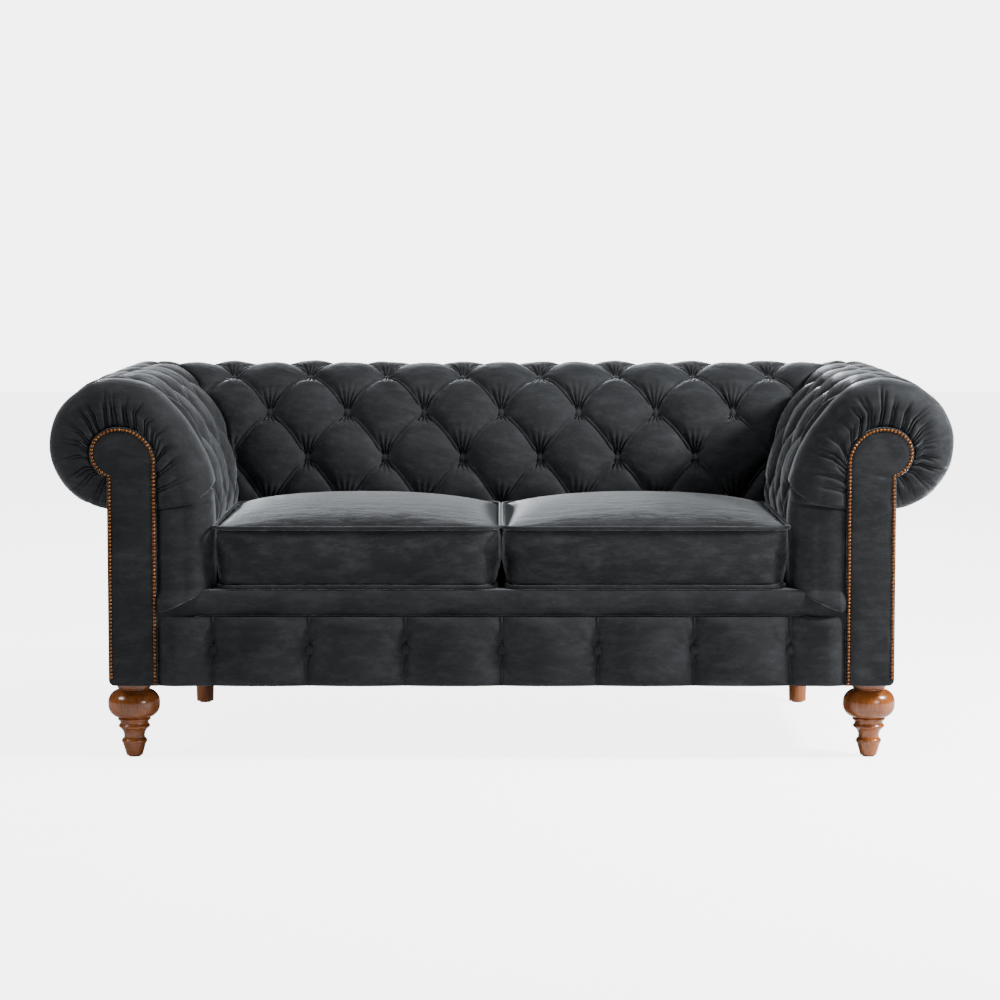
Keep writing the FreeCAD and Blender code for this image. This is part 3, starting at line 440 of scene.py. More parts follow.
def brushed_pile(tree, given):
    """Brushed pile of the velvet: a colour between two shades, and the height of its fibres."""
    clouds = ramped(tree, object_noise(tree, 7.0, (1.0, 1.0, 1.6), 4.0, 0.6), 0.38, 0.68)
    streaks = ramped(tree, object_noise(tree, 22.0, (0.8, 2.2, 2.2), 6.0, 0.7), 0.45, 0.75)
    crush = object_noise(tree, 60.0, (1.0, 1.0, 1.0), 4.0, 0.6)
    fibres = math_node(tree, "MULTIPLY", object_noise(tree, 900.0, (1.0, 1.0, 0.6), 2.0, 0.5), 0.35)
    streaked = math_node(tree, "MULTIPLY", streaks, given["Streaks"])
    brushed = math_node(tree, "ADD", math_node(tree, "MULTIPLY_ADD", clouds, 0.2, streaked), fibres)
    height = math_node(tree, "ADD", fibres, math_node(tree, "MULTIPLY_ADD", streaked, 1.6, crush))
    return blended(tree, brushed, given["Pile"], given["Brushed"]), height


def wood_grain(tree, given):
    """Grain of wood turned about an upright axis: a light and dark figure and its pores."""
    figure = ramped(tree, object_noise(tree, 26.0, (1.0, 1.0, 0.22), 5.0, 0.6), 0.32, 0.66)
    pores = ramped(tree, object_noise(tree, 320.0, (1.0, 1.0, 0.06), 3.0, 0.6), 0.42, 0.58)
    shade = math_node(tree, "MULTIPLY_ADD", figure, 0.75, math_node(tree, "MULTIPLY", pores, 0.25))
    return blended(tree, shade, given["Dark"], given["Light"]), pores


def plain_weave(tree, given):
    """Plain weave over the object's own coordinates: a shade and the height of its threads."""
    place = add_node(tree, "ShaderNodeTexCoord").outputs["Object"]
    parts = add_node(tree, "ShaderNodeSeparateXYZ", {"Vector": place})
    ribs = []
    for axis in ("X", "Y", "Z"):
        turn = math_node(tree, "MULTIPLY", parts.outputs[axis], given["Threads"])
        ribs.append(math_node(tree, "ABSOLUTE", math_node(tree, "SINE", turn)))
    height = math_node(tree, "MULTIPLY", math_node(tree, "MAXIMUM", ribs[0], ribs[2]), ribs[1])
    uneven = math_node(tree, "MULTIPLY", object_noise(tree, 40.0), 0.5)
    shade = math_node(tree, "MULTIPLY_ADD", height, 0.6, uneven)
    return blended(tree, shade, given["Gap"], given["Thread"]), height


def velvet(name="charcoal_velvet", streaks=0.45, bump=0.45, sheen=1.0):
    """Charcoal velvet, its pile lighter where it is brushed and seen along."""
    colours = bpy.context.scene.sofa_colours

    def build(tree):
        given = {"Pile": colours.velvet, "Brushed": colours.velvet_light, "Streaks": streaks}
        pile, height = pattern(tree, brushed_pile, given)
        return {
            "Base Color": pile, "Normal": relief(tree, height, bump, 0.0015), "Roughness": 0.75,
            "Sheen Weight": sheen, "Sheen Roughness": 0.27, "Sheen Tint": (0.82, 0.87, 0.92, 1.0),
            "Specular IOR Level": 0.15,
        }

    return finish(name, build)


def wood(name, colour, roughness, coat, bump):
    """Wood with its grain, raw or polished."""
    def build(tree):
        given = {"Dark": shade_of(colour, 0.42), "Light": shade_of(colour, 1.25)}
        grain, height = pattern(tree, wood_grain, given)
        return {
            "Base Color": grain, "Normal": relief(tree, height, bump, 0.0006),
            "Roughness": roughness, "Coat Weight": coat, "Coat Roughness": 0.12,
        }

    return finish(name, build)


def metal(name, colour, roughness, spots):
    """Metal with tarnish in spots and a worn lustre."""
    def build(tree):
        tarnish = ramped(tree, object_noise(tree, spots, detail=4.0), 0.40, 0.62)
        return {
            "Base Color": blended(tree, tarnish, shade_of(colour, 0.35), colour), "Metallic": 1.0,
            "Roughness": math_node(tree, "MULTIPLY_ADD", tarnish, -0.18, roughness + 0.12),
        }

    return finish(name, build)


def woven(name, colour, threads):
    """Woven cloth or tape."""
    def build(tree):
        given = {"Thread": colour, "Gap": shade_of(colour, 0.35), "Threads": threads}
        weave, height = pattern(tree, plain_weave, given)
        return {"Base Color": weave, "Normal": relief(tree, height, 0.4, 0.0006), "Roughness": 0.9}

    return finish(name, build)


def foam(name, colour):
    """Open-celled foam."""
    def build(tree):
        cells = object_noise(tree, 500.0, detail=5.0)
        return {
            "Base Color": blended(tree, cells, shade_of(colour, 0.6), colour),
            "Normal": relief(tree, cells, 0.5, 0.001), "Roughness": 0.95,
        }

    return finish(name, build)


def diamond_marks(first, last, count, crowding):
    """Lattice marks between two whole numbers, crowded towards each whole number."""
    share = np.linspace(0.0, 1.0, count + 1)[:-1]
    cell = share - crowding * np.sin(2 * math.pi * share) / (2 * math.pi)
    return np.concatenate([number + cell for number in range(first, last)] + [[last]])


def edge_roundness(distance, reach):
    """Shape of a pillow's edge: 0 in the seam, steep beside it, and 1 from a reach on."""
    share = np.clip(distance / reach, 0.0, 1.0)
    return (1.0 - (1.0 - share) ** 2) ** 0.7


def fold_swell(distance, reach):
    """Shape beside a fold: 0 in it, upright beside it, and 1 from a reach on."""
    share = np.clip(distance / reach, 0.0, 1.0)
    return np.sqrt(1.0 - (1.0 - share) ** 2)


def whole_distance(value):
    """Distance to the nearest whole number."""
    return np.abs(value - np.round(value))


def cell_random(first, second, seed):
    """A steady random share for each pair of whole numbers."""
    mixed = np.sin(first * 127.1 + second * 311.7 + seed * 74.7) * 43758.5453
    return mixed - np.floor(mixed)


def tuft_rise(across, row, to_mitre, to_band, sizes):
    """Height of a tufted cover over the profile, at lattice places.

    across counts half columns and row counts rows.  to_mitre and to_band are lengths to those seams.
    """
    held = np.clip(row, 0.0, LAST_ROW)
    first = (across + held) / 2
    second = (across - held) / 2
    one = fold_swell(whole_distance(first) * PLEAT_SPACING, FOLD_REACH)
    other = fold_swell(whole_distance(second) * PLEAT_SPACING, FOLD_REACH)
    edge = one * other / (one ** 4 + other ** 4 + 1e-9) ** 0.25
    broad = np.abs(np.sin(math.pi * first) * np.sin(math.pi * second)) ** 0.6
    upright = fold_swell(2 * whole_distance(across / 2) * PITCH, CHANNEL_REACH)
    crest = np.abs(np.sin(math.pi * across / 2)) ** 0.8
    leaving = smoothstep(np.maximum(-row / 0.6, (row - LAST_ROW) / 0.9))
    fullness = 1.0 + 0.35 * (cell_random(np.floor(first), np.floor(second), 3) - 0.5)
    crown = sizes.pillow_crown * fullness
    depth = sizes.pleat_depth
    diamonds = depth * edge + crown * broad
    channels = 0.8 * depth * upright + crown * crest
    rise = diamonds * (1 - leaving) + channels * leaving - depth

    spine = np.minimum(whole_distance(first), whole_distance(second)) * PLEAT_SPACING
    node_first = np.round(first)
    node_second = np.round(second)
    side_step = (across - node_first - node_second) * PITCH
    up_step = (row - node_first + node_second) * ROW_STEP
    reach = np.hypot(side_step, up_step)
    node_row = node_first - node_second
    buttoned = (node_row > -0.5) & (node_row < 3.5) & (to_mitre > -0.02) & (to_band > -0.02)
    node_to_mitre = to_mitre + side_step
    buttoned &= (node_to_mitre > BUTTON_TO_SEAM) & (to_band - side_step > BUTTON_TO_SEAM)
    rise = rise - sizes.button_pit * np.exp(-(reach / PIT_REACH) ** 1.5) * buttoned
    ridge = RIDGE_HEIGHT * np.exp(-(spine / RIDGE_WIDTH) ** 2) * smoothstep((reach - 0.010) / 0.015)
    rise = rise + ridge * (1 - leaving)

    turn = np.arctan2(side_step, np.abs(up_step))
    above = up_step > 0
    chance = cell_random(node_first, node_second + np.where(above, 0.5, 0.0), 5)
    fold = (0.5 + 0.5 * np.cos(turn * (19.0 + 5.0 * chance) + 2 * math.pi * chance)) ** 1.5
    length = 0.011 + 0.010 * chance + 0.013 * above
    window = np.exp(-(np.clip(reach - 0.016, 0.0, None) / length) ** 2)
    window = window * smoothstep((0.66 - np.abs(turn)) / 0.15) * smoothstep((reach - 0.007) / 0.006)
    rise = rise - CREASE_DEPTH * fold * window * buttoned

    floor = -sizes.pleat_depth
    held_down = edge_roundness(to_mitre, SEAM_REACH) * edge_roundness(to_band, BAND_SEAM_REACH)
    return floor + (rise - floor) * held_down


def lattice_bow(across, row, bow, to_band):
    """Sideways and upward shift that bows the pleats between two buttons."""
    first = (across + row) / 2
    second = (across - row) / 2
    diagonal = math.hypot(PITCH, ROW_STEP)

    def one_way(crossing, running):
        near = np.cos(math.pi * crossing) ** 2
        return near * np.abs(np.sin(math.pi * running))

    inside = smoothstep(row / 0.7) * smoothstep((LAST_ROW - row) / 0.7) * smoothstep(to_band / 0.04)
    rising = one_way(second, first) * bow * inside
    falling = one_way(first, second) * bow * inside
    sideways = (falling - rising) * ROW_STEP / diagonal
    upward = (falling + rising) * PITCH / diagonal
    return sideways / PITCH, upward / ROW_STEP


def tuft_lattice(low, high, count, crowding):
    """Places and faces of a field of diamonds with upright channels above and below it.

    low and high are half-column limits.  Points come back as across and row, faces as point numbers.
    """
    first_end = math.ceil((high + LAST_ROW) / 2) + 1
    first = diamond_marks(math.floor(low / 2) - 1, first_end, count, crowding)
    second_start = math.floor((low - LAST_ROW) / 2) - 1
    second = diamond_marks(second_start, math.ceil(high / 2) + 1, count, crowding)
    across = first[:, None] + second[None, :]
    row = first[:, None] - second[None, :]
    slack = 1e-6
    inside = (row > -slack) & (row < LAST_ROW + slack)
    inside &= (across > low - slack) & (across < high + slack)
    number = np.full(across.shape, -1)
    number[inside] = np.arange(int(inside.sum()))
    corners = np.stack([number[:-1, :-1], number[1:, :-1], number[1:, 1:], number[:-1, 1:]], axis=-1)
    corners = corners.reshape(-1, 4)
    held = (corners >= 0).sum(axis=1)
    faces = [tuple(face) for face in corners[held == 4].tolist()]
    faces += [tuple(point for point in face if point >= 0) for face in corners[held == 3].tolist()]
    points = [np.stack([across[inside], row[inside]], axis=-1)]
    total = int(inside.sum())

    columns = 2 * diamond_marks(math.floor(low / 2), math.ceil(high / 2), count, crowding)
    columns = columns[(columns > low - slack) & (columns < high + slack)]
    bottom = np.linspace(-ROW_FIRST / ROW_STEP, 0.0, 17)
    tail_end = (ROLL_END - ROW_FIRST) / ROW_STEP
    tail = LAST_ROW + (tail_end - LAST_ROW) * np.linspace(0.0, 1.0, 49)
    for rows in (bottom, tail):
        strip_across, strip_row = np.meshgrid(columns, rows)
        points.append(np.stack([strip_across.ravel(), strip_row.ravel()], axis=-1))
        faces += grid_faces(len(rows), len(columns), total)
        total += strip_across.size
    return np.concatenate(points), faces


def tufted_cover(name, low, high, origin, place, mitres, band, material, nodes):
    """A tufted cover over the profile, trimmed at its mitres.

    place gives points from out, up and along.  mitres holds the seat's half lengths with a sign each.
    """
    sizes = bpy.context.scene.sofa_sizes
    lattice, faces = tuft_lattice(low, high, LATTICE_STEPS, LATTICE_CROWDING)
    across, row = lattice.T
    along_profile = ROW_FIRST + ROW_STEP * row
    along = origin + PITCH * across
    out, _ = profile(along_profile, -sizes.pleat_depth)
    to_mitre = np.minimum.reduce([half + out - sign * along for sign, half in mitres])
    to_band = np.full(across.shape, 1.0) if band is None else along - band
    rise = tuft_rise(across, row, to_mitre, to_band, sizes)
    sideways, upward = lattice_bow(across, row, sizes.pleat_bow, to_band)
    along_profile = along_profile + upward * ROW_STEP
    along = origin + PITCH * (across + sideways)
    seed = int(abs(origin) * 1000) + len(name)
    rise = rise + 0.0012 * unevenness(along, along_profile, seed, 9, 0.045, 0.13)
    rise = rise + 0.0003 * unevenness(along, along_profile, seed + 1, 12, 0.012, 0.030)
    over_cushion = smoothstep((along_profile - 0.105) / 0.055)
    rise = np.where(rise > -0.001, -0.001 + (rise + 0.001) * over_cushion, rise)
    out, up = profile(along_profile, rise)
    for sign, half in mitres:
        along = np.where(sign * along > half + out, sign * (half + out), along)
    points = np.stack(place(out, up, along), axis=-1)
    inside = to_mitre > 0
    faces = [face for face in faces if inside[list(face)].any()]
    piece = mesh_piece(name, points, faces, material)
    remove_loose(piece)
    merge_points(piece, COVER_MERGE)
    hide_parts(*nodes)
    return piece


def facing_edge_point(along):
    """Point on a facing's outline that a place on the arm's profile is gathered towards, as out and up."""
    line_length = SCROLL_HEIGHT - SWEEP_START
    scroll_length = SCROLL_RADIUS * SWEEP_ANGLE
    reach = (along - FACE_LENGTH) / (ROLL_START - FACE_LENGTH) * (line_length + scroll_length)
    scroll_turn = np.where(reach > line_length, (reach - line_length) / SCROLL_RADIUS, 0.0)
    roll_turn = SWEEP_ANGLE + (along - ROLL_START) / ROLL_RADIUS
    turn = np.where(along > ROLL_START, roll_turn, scroll_turn)
    notch = math.pi - LOBE_NOTCH
    notch_up = LOBE_HEIGHT + LOBE_RADIUS * math.sin(notch)
    _, end_up = profile(ROLL_END, 0.0)
    cases = [
        along <= FACE_LENGTH,
        (along <= ROLL_START) & (reach <= line_length),
        turn <= math.pi - LOBE_MEETING,
        turn <= notch,
    ]
    inner = np.full_like(along, FACING_INNER)
    scroll = SCROLL_CENTRE - SCROLL_RADIUS * np.cos(turn)
    lobe = LOBE_CENTRE - LOBE_RADIUS * np.cos(turn)
    across = np.select(cases, [inner, inner, scroll, lobe], FACING_OUTER)
    scroll_up = SCROLL_HEIGHT + SCROLL_RADIUS * np.sin(turn)
    lobe_up = LOBE_HEIGHT + LOBE_RADIUS * np.sin(turn)
    fallen = notch_up + (turn - notch) / (ROLL_END_ANGLE - notch) * (end_up - notch_up)
    up = np.select(cases, [DECK_HEIGHT + along, SWEEP_START + reach, scroll_up, lobe_up], fallen)
    return across - SEAT_HALF, up


def gather_set(seed):
    """Gathers round a facing: place along the profile, width, length outwards, depth and lean of each."""
    rng = np.random.default_rng(seed)
    gathers = []
    place = FACE_LENGTH + 0.085
    while place < ROLL_END - 0.012:
        length = rng.uniform(0.055, 0.115)
        width = rng.uniform(0.0026, 0.0040)
        lean = rng.uniform(-0.16, 0.16)
        depth = rng.uniform(0.7, 1.0)
        gathers.append((place, width, length, depth, lean))
        beside = place + rng.uniform(0.008, 0.012)
        gathers.append((beside, width, length * rng.uniform(0.55, 0.95), depth, lean))
        if rng.uniform() < 0.5:
            gathers.append((place + 0.020, 0.003, rng.uniform(0.020, 0.045), 0.6, -lean))
        place += rng.uniform(0.028, 0.046)
    return gathers


def arm_front(name, side, material):
    """Stuffed front end of one arm: a plain band, the rounded end and its gathers round the facing."""
    gather_depth = bpy.context.scene.sofa_sizes.gather_depth
    along = np.concatenate([-np.linspace(1.0, 0.0, 14)[:-1] * ARM_HEM, np.linspace(0.0, ROLL_END, 420)])
    below = np.clip(-along / ARM_HEM, 0.0, 1.0)
    held = np.clip(along, 0.0, None)
    edge_out, edge_up = facing_edge_point(held)
    ring_out, ring_up = profile(held, -ROLL_FRONT_INSET)
    flat_length = np.hypot(edge_out - ring_out, edge_up - ring_up)
    rounded_length = math.pi / 2 * (ROLL_FRONT_LENGTH + ROLL_FRONT_INSET) / 2
    gathers = gather_set(SEED + side)

    def gathered(distance):
        """Depth of all gathers at a distance from the facing's edge."""
        total = np.zeros_like(held)
        for place, width, length, depth, lean in gathers:
            spread = width * (1.0 + 6.0 * np.clip(distance, 0, None))
            fade = smoothstep((length - distance) / (0.6 * length))
            total += depth * np.exp(-((held - place - lean * distance) / spread) ** 2) * fade
        return gather_depth * total

    def puff(share):
        """Swell over the tuck seam and the seam's own groove, at a share of the way back from the face."""
        over = held - TUCK_PLACE - TUCK_LEAN * share
        groove = np.exp(-(over / 0.0032) ** 2)
        return TUCK_DEPTH * (smoothstep(over / 0.014) * smoothstep((0.20 - over) / 0.16) - groove)

    outermost = ROLL_START + ROLL_RADIUS * (math.pi - SWEEP_ANGLE)
    uneven = 0.0012 * unevenness(held, 0 * held, SEED + 3 * side, 6, 0.05, 0.15)
    uneven = uneven + ARM_BULGE * np.exp(-((held - outermost) / ARM_BULGE_REACH) ** 2)
    rows = []
    for back, lift in BAND_STEPS:
        rise = lift + puff(1.0) * (lift > -0.005) + uneven * smoothstep(back / 0.02)
        out, up = profile(held, rise)
        rows.append(np.stack([out, np.full_like(out, BAND_BACK - back), up], axis=-1))
    for turn in np.linspace(0.0, math.pi / 2, 26):
        share = 1 - turn / (math.pi / 2)
        depth = gathered(flat_length + rounded_length * share)
        raised = ARM_PADDING + (puff(share) - depth) * math.cos(turn) + uneven
        out, up = profile(held, raised - ROLL_FRONT_INSET * (1 - math.cos(turn)))
        forward = ROLL_FRONT_LENGTH + ARM_PADDING - depth + puff(0.0)
        rows.append(np.stack([out, ROLL_FRONT_START - forward * math.sin(turn), up], axis=-1))
    base_out, base_up = profile(held, ARM_PADDING - ROLL_FRONT_INSET)
    for share in np.linspace(0.0, 1.0, 22)[1:]:
        depth = 1.15 * gathered(flat_length * (1 - share))
        dish = 0.004 * math.sin(math.pi * share) * np.clip(flat_length / 0.05, 0, 1)
        forward = ROLL_FRONT_FACE - ARM_PADDING - dish + depth - puff(0.0) * (1 - 0.5 * share)
        forward = forward + 0.006 * smoothstep((share - 0.8) / 0.2)
        out = base_out + (edge_out - base_out) * share
        rows.append(np.stack([out, forward, base_up + (edge_up - base_up) * share], axis=-1))
    grid = np.array(rows)
    out, forward, up = (grid[:, :, axis] for axis in range(3))
    drop = below * np.clip(out / (FACING_INNER - SEAT_HALF), 0.0, 1.0)
    up -= drop * ARM_HEM
    forward -= 0.012 * np.sin(drop * math.pi)
    forward += 0.014 * smoothstep((below - 0.80) / 0.20) * (forward < ROLL_FRONT_START)
    out[:] = side * (SEAT_HALF + out)
    piece = grid_piece(name + "_arm_front", grid, material, (0, -1, 0), merge=0.00005)
    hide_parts(name + "_arm_front_roll")


def facing_outline(step):
    """Points round a right facing, starting at its inner foot, about a step apart."""
    def straight(start, end):
        return np.linspace(start, end, max(1, round(math.dist(start, end) / step)), endpoint=False)

    def curve(centre, radius, start, end):
        angle = np.linspace(start, end, max(2, round(abs(end - start) * radius / step)), endpoint=False)
        return np.column_stack([centre[0] + radius * np.cos(angle), centre[1] + radius * np.sin(angle)])

    notch_height = LOBE_HEIGHT + LOBE_RADIUS * math.sin(LOBE_NOTCH)
    corner = (FACING_OUTER - FACING_CORNER, FACING_BOTTOM + FACING_CORNER)
    return np.concatenate([
        straight((FACING_INNER, FACING_BOTTOM), (FACING_INNER, SCROLL_HEIGHT)),
        curve((SCROLL_CENTRE, SCROLL_HEIGHT), SCROLL_RADIUS, math.pi, LOBE_MEETING),
        curve((LOBE_CENTRE, LOBE_HEIGHT), LOBE_RADIUS, LOBE_MEETING, LOBE_NOTCH),
        straight((FACING_OUTER, notch_height), (FACING_OUTER, corner[1])),
        curve(corner, FACING_CORNER, 0.0, -math.pi / 2),
        straight((corner[0], FACING_BOTTOM), (FACING_INNER, FACING_BOTTOM)),
    ])


def facing_pad(name, side, material):
    """Padded velvet face of one arm front, softly pulled in under its nails."""
    outline = facing_outline(0.0035)
    in_scroll = smoothstep((outline[:, 1] - 0.50) / 0.08)
    spine_x = (FACING_INNER + FACING_OUTER) / 2 * (1 - in_scroll) + SCROLL_CENTRE * in_scroll
    spine_z = np.clip(outline[:, 1], FACING_BOTTOM + 0.045, LOBE_HEIGHT - 0.010)
    inwards = np.stack([spine_x, spine_z], axis=-1) - outline
    width = np.hypot(*inwards.T)
    rings = []
    for inset, behind in FACING_STEPS:
        x, z = (outline + inwards * np.clip(inset / width, 0.0, 0.92)[:, None]).T
        uneven = 0.0006 * unevenness(x, z, SEED + 5, 8, 0.03, 0.12) * smoothstep(inset / 0.01)
        rings.append(np.stack([side * x, FACING_FRONT + behind + uneven, z], axis=-1))
    count = len(outline)
    faces = grid_faces(len(rings), count, closed=True)
    faces.append(tuple(range((len(rings) - 1) * count, len(rings) * count)))
    piece = mesh_piece(name + "_facing_pad", np.concatenate(rings), faces, material)
    with edited(piece) as mesh:
        bmesh.ops.triangulate(mesh, faces=[face for face in mesh.faces if len(face.verts) > 4])
    face_outwards(piece, (0, -1, 0))
    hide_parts(name + "_facing_cover")


def border_front(across, height):
    """How far forward the front border stands at a place."""
    pleat = np.round(across / BORDER_PITCH)
    step = np.abs(across - pleat * BORDER_PITCH)
    swell = 0.35 * fold_swell(step, 0.028) + 0.65 * np.sin(math.pi * step / BORDER_PITCH)
    top = edge_roundness(LIP_SEAM - height, 0.020)
    bottom = edge_roundness(height - BORDER_BOTTOM, 0.012)
    reach = np.hypot(step, (height - BORDER_BUTTON_HEIGHT) * 0.9)
    pit = BORDER_PIT * np.exp(-(reach / BORDER_PIT_REACH) ** 1.4)
    ridge = BORDER_RIDGE * np.exp(-(step / BORDER_RIDGE_WIDTH) ** 2) * smoothstep((reach - 0.014) / 0.012)
    ends = fold_swell(FACING_INNER - np.abs(across), 0.040)
    crest = (BORDER_VALLEY - BORDER_CREST + BORDER_SWELL * ends) * ends * swell
    crest = crest * (0.35 + 0.65 * top) * (0.5 + 0.5 * bottom)
    angle = np.arctan2(np.abs(height - BORDER_BUTTON_HEIGHT), step)
    chance = cell_random(pleat, np.sign(across - pleat * BORDER_PITCH), 9)
    folds = (0.5 + 0.5 * np.cos(angle * (9 + 3 * chance) + 6.0 * chance)) ** 2
    creases = 0.0012 * folds * np.exp(-((reach - 0.030) / 0.018) ** 2)
    return BORDER_VALLEY - crest + pit - ridge + creases


def front_border(material):
    """Velvet of the front border, drawn in at its upright pleats and buttons."""
    even = np.linspace(-FACING_INNER, FACING_INNER, round(2 * FACING_INNER / 0.0026) + 1)
    crowding = BORDER_CROWDING * BORDER_PITCH / (2 * math.pi)
    crowded = even - crowding * np.sin(2 * math.pi * even / BORDER_PITCH)
    across, height = np.meshgrid(crowded, np.linspace(BORDER_BOTTOM, LIP_SEAM, 46))
    forward = border_front(across, height)
    forward += 0.0006 * unevenness(across, height, SEED + 8, 9, 0.03, 0.11)
    face = np.stack([across, forward, height], axis=-1)
    hem = face[:1].copy()
    hem[:, :, 1] = FRAME_FRONT - 0.010
    piece = grid_piece("front_border", np.concatenate([hem, face]), material, (0, -1, 0))
    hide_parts("front_border_cover", "front_border_pad")


def front_lip(material):
    """Velvet roll along the front edge of the seat, down to the border's seam."""
    across = np.linspace(-FACING_INNER, FACING_INNER, 260)
    near_end = smoothstep((LIP_END - (FACING_INNER - np.abs(across))) / LIP_END)
    middle = (DECK_HEIGHT + LIP_SEAM) / 2
    half_height = (DECK_HEIGHT - LIP_SEAM) / 2
    rows = [np.stack([across, 0 * across + LIP_BACK, 0 * across + DECK_HEIGHT - 0.0005], axis=-1)]
    for turn in np.linspace(math.pi / 2, -math.pi / 2, 30):
        wave = 0.0008 * unevenness(across, 0 * across + 0.03 * turn, SEED + 12, 7, 0.04, 0.2)
        low = near_end * max(0.0, -math.sin(turn))
        forward = FRAME_FRONT - (FRAME_FRONT - LIP_NOSE + wave) * math.cos(turn) ** 0.8
        forward = forward + (LIP_NOSE + 0.001 - forward) * low
        up = middle + half_height * math.sin(turn) - LIP_END_DIP * low
        rows.append(np.stack([across, forward, up], axis=-1))
    rows.append(rows[-1] + (0, 0.004, -0.004))
    piece = grid_piece("seat_lip", np.array(rows), material, (0, -1, 0))
    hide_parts("front_lip_cover", "front_lip_foam")


def cushion_ring(inset, corner_points):
    """Plan of a right cushion drawn in by an inset, with rounded corners."""
    radius = CUSHION_CORNER + 0.010
    left = CUSHION_INNER + inset + radius
    right = CUSHION_OUTER - inset - radius
    front = CUSHION_FRONT + inset + radius
    back = CUSHION_BACK - min(inset, 0.003) - radius
    arcs = []
    for x, y, start in ((right, back, 0), (left, back, 90), (left, front, 180), (right, front, 270)):
        angle = np.radians(start + np.linspace(0, 90, corner_points + 1))
        arcs.append(np.column_stack([x + radius * np.cos(angle), y + radius * np.sin(angle)]))
    ring = []
    for arc, following in zip(arcs, arcs[1:] + arcs[:1]):
        ring += [arc, np.linspace(arc[-1], following[0], 24, endpoint=False)[1:]]
    return np.concatenate(ring)


def cushion_crown(x, y):
    """Height of a cushion's crown over its top seam at a place in plan."""
    half_width = (CUSHION_OUTER - CUSHION_INNER) / 2
    half_depth = (CUSHION_BACK - CUSHION_FRONT) / 2
    across = np.clip(np.abs(x - CUSHION_CENTRE[0]) / half_width, 0, 1)
    deep = np.clip(np.abs(y - CUSHION_CENTRE[1]) / half_depth, 0, 1)
    return CUSHION_CROWN * (1 - across ** 2.6) ** 0.75 * (1 - deep ** 2.2) ** 0.8


def cushion_shell(side):
    """Closed start shape of a cushion: rings over its underside, up its wall and over its crown."""
    top = cushion_ring(0.003, 6)
    foot = cushion_ring(0.003 + CUSHION_TAPER, 6)
    centre = np.array(CUSHION_CENTRE)
    low = CUSHION_BOTTOM + PIPING_RADIUS
    high = CUSHION_TOP - PIPING_RADIUS
    rings = []
    for share in (0.0, 0.2, 0.4, 0.6, 0.8):
        rings.append((centre + (foot - centre) * share, CUSHION_BOTTOM))
    for share in np.linspace(0.0, 1.0, 14):
        rings.append((foot + (top - foot) * share, low + (high - low) * share))
    for share in np.linspace(1.0, 0.0, 26)[1:]:
        ring = centre + (top - centre) * share
        rings.append((ring, CUSHION_TOP + cushion_crown(*ring.T)))
    points = []
    for ring, height in rings:
        points.append(np.column_stack([side * ring[:, 0], ring[:, 1], 0 * ring[:, 0] + height]))
    return np.concatenate(points), grid_faces(len(rings), len(top), closed=True)


def point_places(mesh):
    """Places of a mesh's points, one row each."""
    places = np.zeros(len(mesh.vertices) * 3)
    mesh.vertices.foreach_get("co", places)
    return places.reshape(-1, 3)


def simulate_cushion(piece, swell):
    """Puffs a cushion up with cloth, holding its two seams, and applies the result."""
    before = point_places(piece.data)
    low = np.abs(before[:, 2] - CUSHION_BOTTOM) < 0.004
    high = np.abs(before[:, 2] - CUSHION_TOP) < 0.0035
    piece.vertex_groups.new(name="seams").add(np.flatnonzero(low | high).tolist(), 1.0, "REPLACE")
    cloth = piece.modifiers.new("puff", "CLOTH")
    for setting, value in CUSHION_CLOTH.items():
        setattr(cloth.settings, setting, value)
    cloth.settings.effector_weights.gravity = 0.0
    scene = bpy.context.scene
    for number in range(1, 21):
        scene.frame_set(number)
    evaluated = piece.evaluated_get(bpy.context.evaluated_depsgraph_get())
    move = point_places(evaluated.data) - before
    size = np.linalg.norm(move, axis=1)
    settled = before + move * np.minimum(1.0, swell / np.maximum(size, 1e-9))[:, None]
    settled[:, 2] = np.maximum(settled[:, 2], CUSHION_BOTTOM)
    piece.modifiers.remove(cloth)
    piece.vertex_groups.clear()
    piece.data.vertices.foreach_set("co", settled.ravel())
    piece.data.update()
    scene.frame_set(1)


def subdivide_once(piece):
    """Applies one level of subdivision to a piece."""
    modifier = piece.modifiers.new("round", "SUBSURF")
    modifier.levels = 1
    modifier.render_levels = 1
    evaluated = piece.evaluated_get(bpy.context.evaluated_depsgraph_get())
    fine = bpy.data.meshes.new_from_object(evaluated)
    piece.modifiers.clear()
    coarse = piece.data
    piece.data = fine
    bpy.data.meshes.remove(coarse)
    fine.polygons.foreach_set("use_smooth", [True] * len(fine.polygons))


def seat_cushion(name, side, material):
    """One seat cushion: crowned velvet, puffed between its piped seams."""
    piece = mesh_piece(name + "_seat_cushion", *cushion_shell(side), material, name + "_cushion")
    merge_points(piece, 0.0001)
    simulate_cushion(piece, bpy.context.scene.sofa_sizes.cushion_swell)
    subdivide_once(piece)
    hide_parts(name + "_cushion_cover", name + "_cushion_foam")


def piping(name, side, height, inset, label, material):
    """One piped seam round a cushion."""
    ring = cushion_ring(inset, 8)
    direction = np.roll(ring, -1, axis=0) - np.roll(ring, 1, axis=0)
    direction /= np.linalg.norm(direction, axis=1)[:, None]
    outward = np.stack([direction[:, 1], -direction[:, 0]], axis=-1)
    points = []
    for turn in np.linspace(0.0, 2 * math.pi, 9):
        flat = ring + outward * PIPING_RADIUS * math.cos(turn)
        up = np.full(len(ring), height + PIPING_RADIUS * math.sin(turn))
        points.append(np.column_stack([side * flat[:, 0], flat[:, 1], up]))
    faces = grid_faces(len(points), len(ring), closed=True)
    points = np.concatenate(points)
    piece = mesh_piece(f"{name}_{label}_piping", points, faces, material, name + "_cushion")
    merge_points(piece, 0.00002)
    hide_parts(name + "_cushion_piping")


